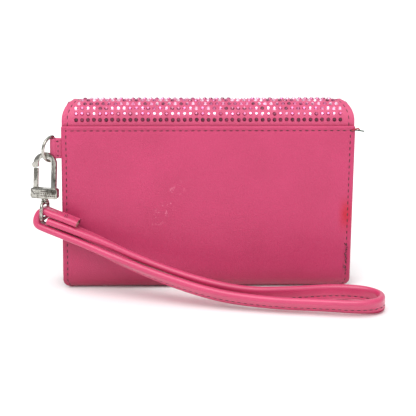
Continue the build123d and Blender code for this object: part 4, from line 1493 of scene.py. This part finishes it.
    def stitches(self, half: str, sheet: Sheet) -> None:
        """The stitch line round the flap's free edges."""
        start = 0.0 if half == "back" else self.top
        rows = []
        if half == "back":
            lengths = np.linspace(self.spring - self.floor - 3 * MM, sheet.route.length, 40)
        else:
            lengths = np.linspace(0, sheet.route.length - self.corner, 60)
        for side in (-1, 1):
            line = side * (self.half_width(lengths + start) - self.stitch_inset)
            places, stations = line, lengths
            if half == "front":
                turn = np.linspace(0, math.pi / 2, 24)[1:]
                radius = self.corner - self.stitch_inset
                centre = sheet.route.length - self.corner
                places = np.concatenate([places, side * (self.flap_half - self.corner + radius * np.cos(turn))])
                stations = np.concatenate([stations, centre + radius * np.sin(turn)])
                middle = np.linspace(1, 0, 40)[1:] * (self.flap_half - self.corner) * side
                places = np.concatenate([places, middle])
                stations = np.concatenate([stations, np.full(39, sheet.route.length - self.stitch_inset)])
            rows.append(sheet.surface(places, stations, -SEAT))
        piece = Beads.make(
            f"flap_stitches_{half}", Bead.STITCH, rows, THREAD, FLAP_STITCH, self.stitch_pitch, 0.06, 5
        )
        self.bend(piece, half)


# ---------------------------------------------------------------- inside


@dataclass
class Inside:
    """Gussets, linings, card slots, coin bag and zip."""

    floor: float = 8.0 * MM
    back: float = -8.4 * MM
    front: float = 7.7 * MM
    side: float = 75.7 * MM
    gusset: float = 0.8 * MM
    gusset_fold: float = 8.0 * MM
    gusset_height: float = 82.0 * MM
    card_sheet: float = 0.7 * MM
    card_width: float = 124.0 * MM
    card_pitch: float = 2.6 * MM
    card_seam: float = 1.6 * MM
    card_margin: float = 2.0 * MM
    card_tops: tuple[float, float, float] = (80.0 * MM, 69.0 * MM, 58.0 * MM)
    coin_middle: float = 0.4 * MM
    coin_half: float = 1.8 * MM
    coin_wall: float = 0.7 * MM
    coin_width: float = 133.0 * MM
    coin_top: float = 76.0 * MM
    pinch_width: float = 7 * MM
    pinch_start: float = 3 * MM
    pinch_fall: float = 12 * MM
    pinch_end: float = 66 * MM
    tape: float = 0.6 * MM
    tape_width: float = 1.5 * MM
    zip_length: float = 122.0 * MM
    tooth_pitch: float = 2.0 * MM
    tooth: tuple[float, float, float] = (0.8 * MM, 1.8 * MM, 1.2 * MM)
    across: np.ndarray = field(default_factory=lambda: np.array([1.0, 0, 0]))

    def build(self) -> None:
        """Make every inner piece."""
        self.gussets()
        self.cards()
        self.coin_bag()
        self.front_lining()
        self.zip()

    def upright(self, y: float, low: float, high: float, facing: float) -> Route:
        """A straight profile standing at y, whose outer face looks along facing times +Y."""
        return folded([(y, low), (y, high)], (), Facing.SIDE, -facing)

    def ride(self, name: str, skin: Skin, finishes: Sequence[Finish], *nodes: str) -> bpy.types.Object:
        """Build a skin, ride it on the wallet, and let it stand for its nodes."""
        piece = skin.build(name, finishes)
        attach(piece, "wallet")
        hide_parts(*nodes)
        LOG.info("%s: %d faces", name, len(piece.data.polygons))
        return piece

    def gussets(self) -> None:
        """The two folded side gussets."""
        rows = np.array([self.back, 0, self.coin_middle, 0, self.front])
        rows[1], rows[3] = (rows[0] + rows[2]) / 2, (rows[2] + rows[4]) / 2
        slant = math.hypot(self.gusset_fold, rows[2] - rows[1])
        half = self.gusset / 2 * slant / (rows[2] - rows[1])
        outer = self.side - half
        for name, side in (("left", -1), ("right", 1)):
            x = [side * v for v in (outer, outer - self.gusset_fold, outer, outer - self.gusset_fold, outer)]
            ends = [rows[0] + 0.35 * MM, *rows[1:4], rows[4] - 0.35 * MM]
            route = folded(list(zip(x, ends)), (0.8 * MM,) * 3, Facing.PLAN, side)
            lifted = Route(route.points + route.normals * self.gusset / 2, route.normals)
            middle = (self.floor + self.gusset_height) / 2
            sheet = Sheet(
                lifted, Z_UP, middle, constant((self.gusset_height - self.floor) / 2), self.gusset,
                step_along=0.8 * MM, step_across=6 * MM, insets=(0.8 * MM, 1.6 * MM),
            )
            skin = Skin.of(sheet)
            self.ride(f"gusset_{name}_leather", skin, (PINK,), f"gusset_{name}")

    def cards(self) -> None:
        """Three stepped card slots, stitched round and down the middle."""
        names = ("card_slot_tall", "card_slot_middle", "card_slot_low")
        for index, (node, top) in enumerate(zip(names, self.card_tops)):
            face = self.back + (index + 1) * self.card_sheet
            sheet = Sheet(
                self.upright(face, self.floor, top, 1.0), self.across, 0.0, constant(self.card_width / 2),
                self.card_sheet, lambda d, s, t=top: seam_dip(self.floor + s, t - self.card_seam, 0.12 * MM),
                dense=tuple(top - self.floor - MM * d for d in (0.8, 1.2, 1.6, 2.0, 2.4)),
            )
            skin = Skin.of(sheet)
            self.ride(f"{node}_leather", skin, (PINK,), node)
            span = np.linspace(-self.card_width / 2 + self.card_margin, self.card_width / 2 - self.card_margin, 60)
            rows = [sheet.surface(span, np.full(60, top - self.floor - self.card_seam), 0.03 * MM)]
            if index == 2:
                climb = np.linspace(3 * MM, top - self.floor - self.card_seam, 40)
                for x in (-self.card_width / 2 + self.card_margin, 0.0, self.card_width / 2 - self.card_margin):
                    rows.append(sheet.surface(np.full(40, x), climb, 0.03 * MM))
            stitches = Beads.make(
                f"{node}_stitches", Bead.STITCH, rows, THREAD, CARD_STITCH, self.card_pitch, 0.05, 31 + index
            )
            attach(stitches, "wallet")

    def coin_bag(self) -> None:
        """The zipped bag between the compartments, with a flange at each side."""
        low, high = self.coin_middle - self.coin_half, self.coin_middle + self.coin_half
        route = folded(
            [(low, self.coin_top), (low, self.floor), (high, self.floor), (high, self.coin_top)],
            (1.2 * MM, 1.2 * MM), Facing.SIDE, -1.0,
        )
        total = route.length
        pinch = self.coin_half - self.coin_wall - 0.05 * MM

        def draw_in(depth: np.ndarray, along: np.ndarray) -> np.ndarray:
            """The bag's walls close on each other at its sides, under the zip."""
            near = 1 - np.clip(depth / self.pinch_width, 0, 1)
            under = np.minimum(along, total - along)
            below = np.clip((under - self.pinch_start) / self.pinch_fall, 0, 1)
            return -pinch * near * near * (3 - 2 * near) * below * (under < self.pinch_end)

        skin = Skin()
        bag = Sheet(route, self.across, 0.0, constant(self.coin_width / 2), self.coin_wall, flat, draw_in)
        skin.loft(bag.rings())
        reach = 70.9 * MM
        for side in (-1, 1):
            inner = self.coin_width / 2 - 4 * MM
            flange = Sheet(
                self.upright(self.coin_middle + self.coin_wall / 2, self.floor, self.coin_top - 2 * MM, 1.0),
                self.across, side * (inner + reach) / 2, constant((reach - inner) / 2), self.coin_wall,
                insets=(0.8 * MM,), step_across=2 * MM,
            )
            skin.loft(flange.rings())
        self.ride("coin_bag_lining", skin, (LINING,), "coin_pocket")

    def front_lining(self) -> None:
        """Lining of the front panel."""
        sheet = Sheet(
            self.upright(self.front, self.floor, 82.6 * MM, -1.0), self.across, 0.0, constant(75.5 * MM), 0.6 * MM
        )
        skin = Skin.of(sheet)
        self.ride("front_lining_cloth", skin, (LINING,), "front_lining")

    def zip(self) -> None:
        """Tapes, teeth, stops, slider and puller."""
        for name, side in (("back", -1), ("front", 1)):
            edge = self.coin_middle + side * self.coin_half
            middle = edge - side * self.tape_width / 2
            points = np.array([(x * self.coin_width / 2, middle, self.coin_top + self.tape) for x in (-1, 1)])
            route = Route(points, np.array([Z_UP] * 2))
            sheet = Sheet(
                route, np.array([0, 1.0, 0]), 0.0, constant(self.tape_width / 2), self.tape,
                step_across=0.3 * MM, insets=(0.45 * MM,), step_along=3 * MM,
            )
            skin = Skin.of(sheet)
            self.ride(f"zip_tape_{name}_cloth", skin, (TAPE,), f"zip_tape_{name}")
            self.teeth(name, side)
        for node, finish in (("zip_stop_closed", TEETH), ("zip_stop_open", TEETH)):
            polished_copy(node, finish, "wallet", 0.18 * MM)
        polished_copy("zip_slider", NICKEL, "slider", 0.16 * MM)
        polished_copy("zip_puller", NICKEL, "puller", 0.16 * MM)

    def teeth(self, name: str, side: int) -> None:
        """One row of teeth, and the cord that they are crimped on."""
        start = -self.zip_length / 2 + self.tooth_pitch * (0.95 if side > 0 else 0.45)
        end = start + self.tooth_pitch * (int(self.zip_length / self.tooth_pitch) - 2)
        y = self.coin_middle + side * 0.2 * MM
        z = self.coin_top + self.tape + self.tooth[2] / 2
        line = np.array([(start, y, z), (end, y, z)])
        rows = [(line, np.array([Z_UP] * 2))]
        teeth = Beads.make(f"zip_teeth_{name}_row", Bead.TOOTH, rows, TEETH, self.tooth, self.tooth_pitch)
        bevelled(teeth, 0.14 * MM, 1)
        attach(teeth, "wallet")
        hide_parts(f"zip_teeth_{name}")
        skin = Skin()
        y = self.coin_middle + side * 1.3 * MM
        half = self.zip_length / 2
        skin.tube(np.array([(-half, y, z), (-half / 2, y, z), (half / 2, y, z), (half, y, z)]), 0.3 * MM, 8)
        cord = skin.build(f"zip_cord_{name}", (TAPE,))
        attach(cord, "wallet")


def bevelled(piece: bpy.types.Object, width: float, segments: int = 2) -> None:
    """Round a piece's sharp edges and keep the result as its plain mesh."""
    modifier = piece.modifiers.new("edges", "BEVEL")
    modifier.width = width
    modifier.segments = segments
    modifier.limit_method = "ANGLE"
    modifier.angle_limit = math.radians(32)
    modifier.use_clamp_overlap = True
    graph = bpy.context.evaluated_depsgraph_get()
    mesh = bpy.data.meshes.new_from_object(piece.evaluated_get(graph))
    piece.modifiers.clear()
    old, piece.data = piece.data, mesh
    bpy.data.meshes.remove(old)
    mesh.shade_smooth()
    mesh.set_sharp_from_angle(angle=math.radians(42))


def polished_copy(node: str, finish: Finish, body: str, width: float) -> bpy.types.Object:
    """A rounded copy of a hard CAD node, with its own finish.

    Args:
        node: The CAD node.
        finish: The metal.
        body: The body that it rides on.
        width: How far the edges are rounded.

    Returns:
        The piece that stands for the node.
    """
    source = bpy.data.objects[node].data
    mesh = bpy.data.meshes.new(f"{node}_metal")
    work = bmesh.new()
    work.from_mesh(source)
    bmesh.ops.remove_doubles(work, verts=work.verts, dist=0.002 * MM)
    bmesh.ops.dissolve_limit(work, angle_limit=math.radians(1.5), verts=work.verts, edges=work.edges)
    work.to_mesh(mesh)
    work.free()
    mesh.materials.clear()
    mesh.materials.append(finish.material())
    piece = place(f"{node}_metal", mesh, finish, 42.0)
    bevelled(piece, width)
    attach(piece, body)
    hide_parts(node)
    LOG.info("%s: %d faces", piece.name, len(piece.data.polygons))
    return piece


# ---------------------------------------------------------------- hardware


@dataclass
class Hardware:
    """Tab, D-ring, swivel snap and its wire eye."""

    ring: tuple[float, float, float] = (-80.0 * MM, -9.6 * MM, 76.8 * MM)
    ring_wire: float = 0.8 * MM
    ring_half: float = 6.3 * MM
    ring_depth: float = 7.8 * MM
    ring_turn: float = 48.0
    tab_height: float = 10.7 * MM
    tab_leather: float = 1.0 * MM
    tab_end: float = -69.0 * MM
    tab_dip: float = 1.5 * MM
    tab_pitch: float = 2.2 * MM
    tab_seam: tuple[float, float, float] = (2.5 * MM, 9.0 * MM, 8.6 * MM)
    origin: tuple[float, float, float] = (-84.706 * MM, -14.756 * MM, 51.407 * MM)
    up: tuple[float, float, float] = (0.028645, 0.114887, 0.992966)
    x_axis: tuple[float, float, float] = (0.970296, -0.241922, 0.0)
    eye_wire: float = 0.9 * MM
    eye_drop: float = 2.3 * MM
    eye_width: float = 10.2 * MM
    eye_height: float = 6.6 * MM
    eye_corner: float = 2.2 * MM
    block_depth: float = 4.0 * MM
    stud_rows: tuple[float, float, float] = (1.5 * MM, 2.7 * MM, 3.9 * MM)
    stud_span: tuple[float, float] = (-1.4 * MM, 5.6 * MM)
    stud_pitch: float = 1.0 * MM

    def at(self, x: float, y: float, z: float) -> np.ndarray:
        """A point in the snap's own frame."""
        up, side = np.array(self.up), np.array(self.x_axis)
        return np.array(self.origin) + side * x + np.cross(up, side) * y + up * z

    def build(self) -> None:
        """Make every piece of the hardware."""
        self.tab()
        self.d_ring()
        self.eye()
        self.snap()

    def d_ring(self) -> None:
        """The D-ring: a straight bar in the tab and a round bow."""
        turn = math.radians(self.ring_turn)
        out = np.array([-math.cos(turn), -math.sin(turn), 0])
        radius = (self.ring_half**2 + self.ring_depth**2) / (2 * self.ring_depth)
        middle = self.ring_depth - radius
        half = math.atan2(self.ring_half, -middle)
        angles = np.linspace(-half, half, 60)
        bow = [(middle + radius * math.cos(a), radius * math.sin(a)) for a in angles]
        bar = [(0.0, h) for h in np.linspace(self.ring_half, -self.ring_half, 14)[1:-1]]
        flat_points = np.array(bow + bar)
        for _ in range(3):
            flat_points = (np.roll(flat_points, 1, 0) + 2 * flat_points + np.roll(flat_points, -1, 0)) / 4
        points = np.array(self.ring) + out * flat_points[:, :1] + Z_UP * flat_points[:, 1:]
        skin = Skin()
        skin.tube(points, self.ring_wire, 14, closed=True)
        piece = skin.build("d_ring_wire", (NICKEL,))
        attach(piece, "d_ring")
        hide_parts("d_ring")
        LOG.info("D-ring: %d faces", len(piece.data.polygons))

    def tab(self) -> None:
        """The leather loop round the D-ring's bar, stitched near its top and bottom."""
        x, y, z = self.ring
        bore = self.ring_wire + 0.15 * MM
        outer, neck = bore + self.tab_leather, self.tab_leather
        turns = np.radians(np.linspace(38, 322, 40))
        loop = [(x + outer * math.cos(a), y + outer * math.sin(a)) for a in turns]
        upper = [(self.tab_end, y + neck), (x + 4.4 * MM, y + neck), (x + 2.6 * MM, y + neck + 0.06 * MM)]
        lower = [(px, 2 * y - py) for px, py in reversed(upper)]
        line = np.array(upper + loop + lower)
        own = np.concatenate([[0.0], np.cumsum(np.linalg.norm(np.diff(line, axis=0), axis=1))])
        wanted = np.linspace(0, own[-1], 90)
        line = np.stack([np.interp(wanted, own, line[:, k]) for k in range(2)], 1)
        for _ in range(2):
            line[1:-1] = (line[:-2] + 2 * line[1:-1] + line[2:]) / 4
        heading = np.gradient(line, axis=0)
        normals = unit(np.stack([-heading[:, 1], heading[:, 0], np.zeros(len(line))], 1)) * -1.0
        points = np.column_stack([line, np.zeros(len(line))])
        route = Route(points, normals)
        dip = self.tab_dip
        sheet = Sheet(
            route, Z_UP, z, constant(self.tab_height / 2), self.tab_leather,
            lambda d, s: seam_dip(d, dip, 0.16 * MM, 0.5 * MM), step_along=0.7 * MM, step_across=1.0 * MM,
            insets=tuple(MM * v for v in (0.8, 1.1, 1.5, 1.9, 2.3)),
        )
        skin = Skin.of(sheet)
        piece = skin.build("tab_leather_loop", (PINK,))
        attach(piece, "wallet")
        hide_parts("strap_tab")
        rows = []
        near, far, bar = self.tab_seam
        total = route.length
        for start, end, cross in ((near, far, bar), (total - far, total - near, total - bar)):
            lengths = np.linspace(start, end, 16)
            for side in (-1, 1):
                rows.append(sheet.surface(np.full(16, side * (self.tab_height / 2 - dip)), lengths, SEAT))
            climb = np.linspace(-self.tab_height / 2 + dip, self.tab_height / 2 - dip, 12)
            rows.append(sheet.surface(climb, np.full(12, cross), 0.05 * MM))
        stitches = Beads.make("tab_stitches", Bead.STITCH, rows, THREAD, TAB_STITCH, self.tab_pitch, 0.05, 41)
        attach(stitches, "wallet")
        LOG.info("tab: %d faces", len(piece.data.polygons))

    def eye(self) -> None:
        """The wire eye for the strap, with its turned collar and stem."""
        top = -self.eye_drop
        bottom = top - self.eye_height - 2 * self.eye_wire
        half, corner = self.eye_width / 2 + self.eye_wire, self.eye_corner
        outline = self.rounded_outline(half, top, bottom, corner)
        points = np.array([self.at(0, y, z) for y, z in outline])
        skin = Skin()
        skin.tube(points, self.eye_wire, 14, closed=True)
        up = np.array(self.up)
        collar = [(0.25, -0.6), (1.5, -0.5), (1.95, 0.0), (2.0, 0.5)]
        collar += [(1.7, 0.85), (1.35, 1.0), (1.7, 1.2), (1.8, 1.6)]
        stem = [(1.5, -0.25), (0.9, -0.2), (0.9, 1.3), (1.3, 1.35), (1.3, 2.1), (0.2, 2.2)]
        profile = [(r * MM, top + h * MM) for r, h in collar] + [(r * MM, h * MM) for r, h in stem]
        skin.lathe(np.array(self.origin), up, profile)
        piece = skin.build("swivel_eye_wire", (NICKEL,))
        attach(piece, "swivel")
        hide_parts("swivel_eye")
        LOG.info("swivel eye: %d faces", len(piece.data.polygons))

    @staticmethod
    def rounded_outline(half: float, top: float, bottom: float, corner: float) -> list[tuple[float, float]]:
        """A closed rounded oblong, as Y and Z pairs."""
        centres = ((half - corner, top - corner, 0), (-half + corner, top - corner, 90),
                   (-half + corner, bottom + corner, 180), (half - corner, bottom + corner, 270))
        outline = []
        for cx, cz, start in centres:
            for angle in np.radians(np.linspace(start, start + 90, 10)):
                outline.append((cx + corner * math.cos(angle), cz + corner * math.sin(angle)))
        return outline

    def snap(self) -> None:
        """The snap's frame, gate and pin, with a milled pattern of studs on the block, their nickel darkened with
        painted shade.
        """
        polished_copy("snap_frame", NICKEL, "snap", 0.7 * MM)
        polished_copy("snap_gate", NICKEL, "gate", 0.32 * MM)
        polished_copy("gate_pin", NICKEL, "snap", 0.12 * MM)
        front = -self.block_depth / 2
        facing = self.at(0, -1, 0) - self.at(0, 0, 0)
        rows = []
        for z in self.stud_rows:
            for side in (1, -1):
                line = np.array([self.at(x, side * front, z) for x in np.linspace(*self.stud_span, 8)])
                rows.append((line, np.repeat(side * facing[None], 8, 0)))
        # studs in nickel darkened with painted shade for the milled recesses
        studs = Beads.make("block_milled_studs", Bead.STUD, rows, RECESS_SHADE_STUDS, STUD, self.stud_pitch, 0.0, 51)
        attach(studs, "snap")


def main() -> None:
    """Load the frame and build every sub-assembly in order."""
    logging.basicConfig(level=logging.INFO, format="%(name)s: %(message)s")
    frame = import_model()
    studio = Studio()
    studio.camera()
    WristStrap().build()
    studio.floor()
    studio.light()
    Body().build()
    Flap().build()
    Inside().build()
    Hardware().build()
    for node in ("front_magnet", "flap_magnet"):
        for slot in frame["nodes"][node].material_slots:
            slot.material = MAGNET.material()
        LOG.info("%s: dressed", node)


if __name__ == "__main__":
    main()
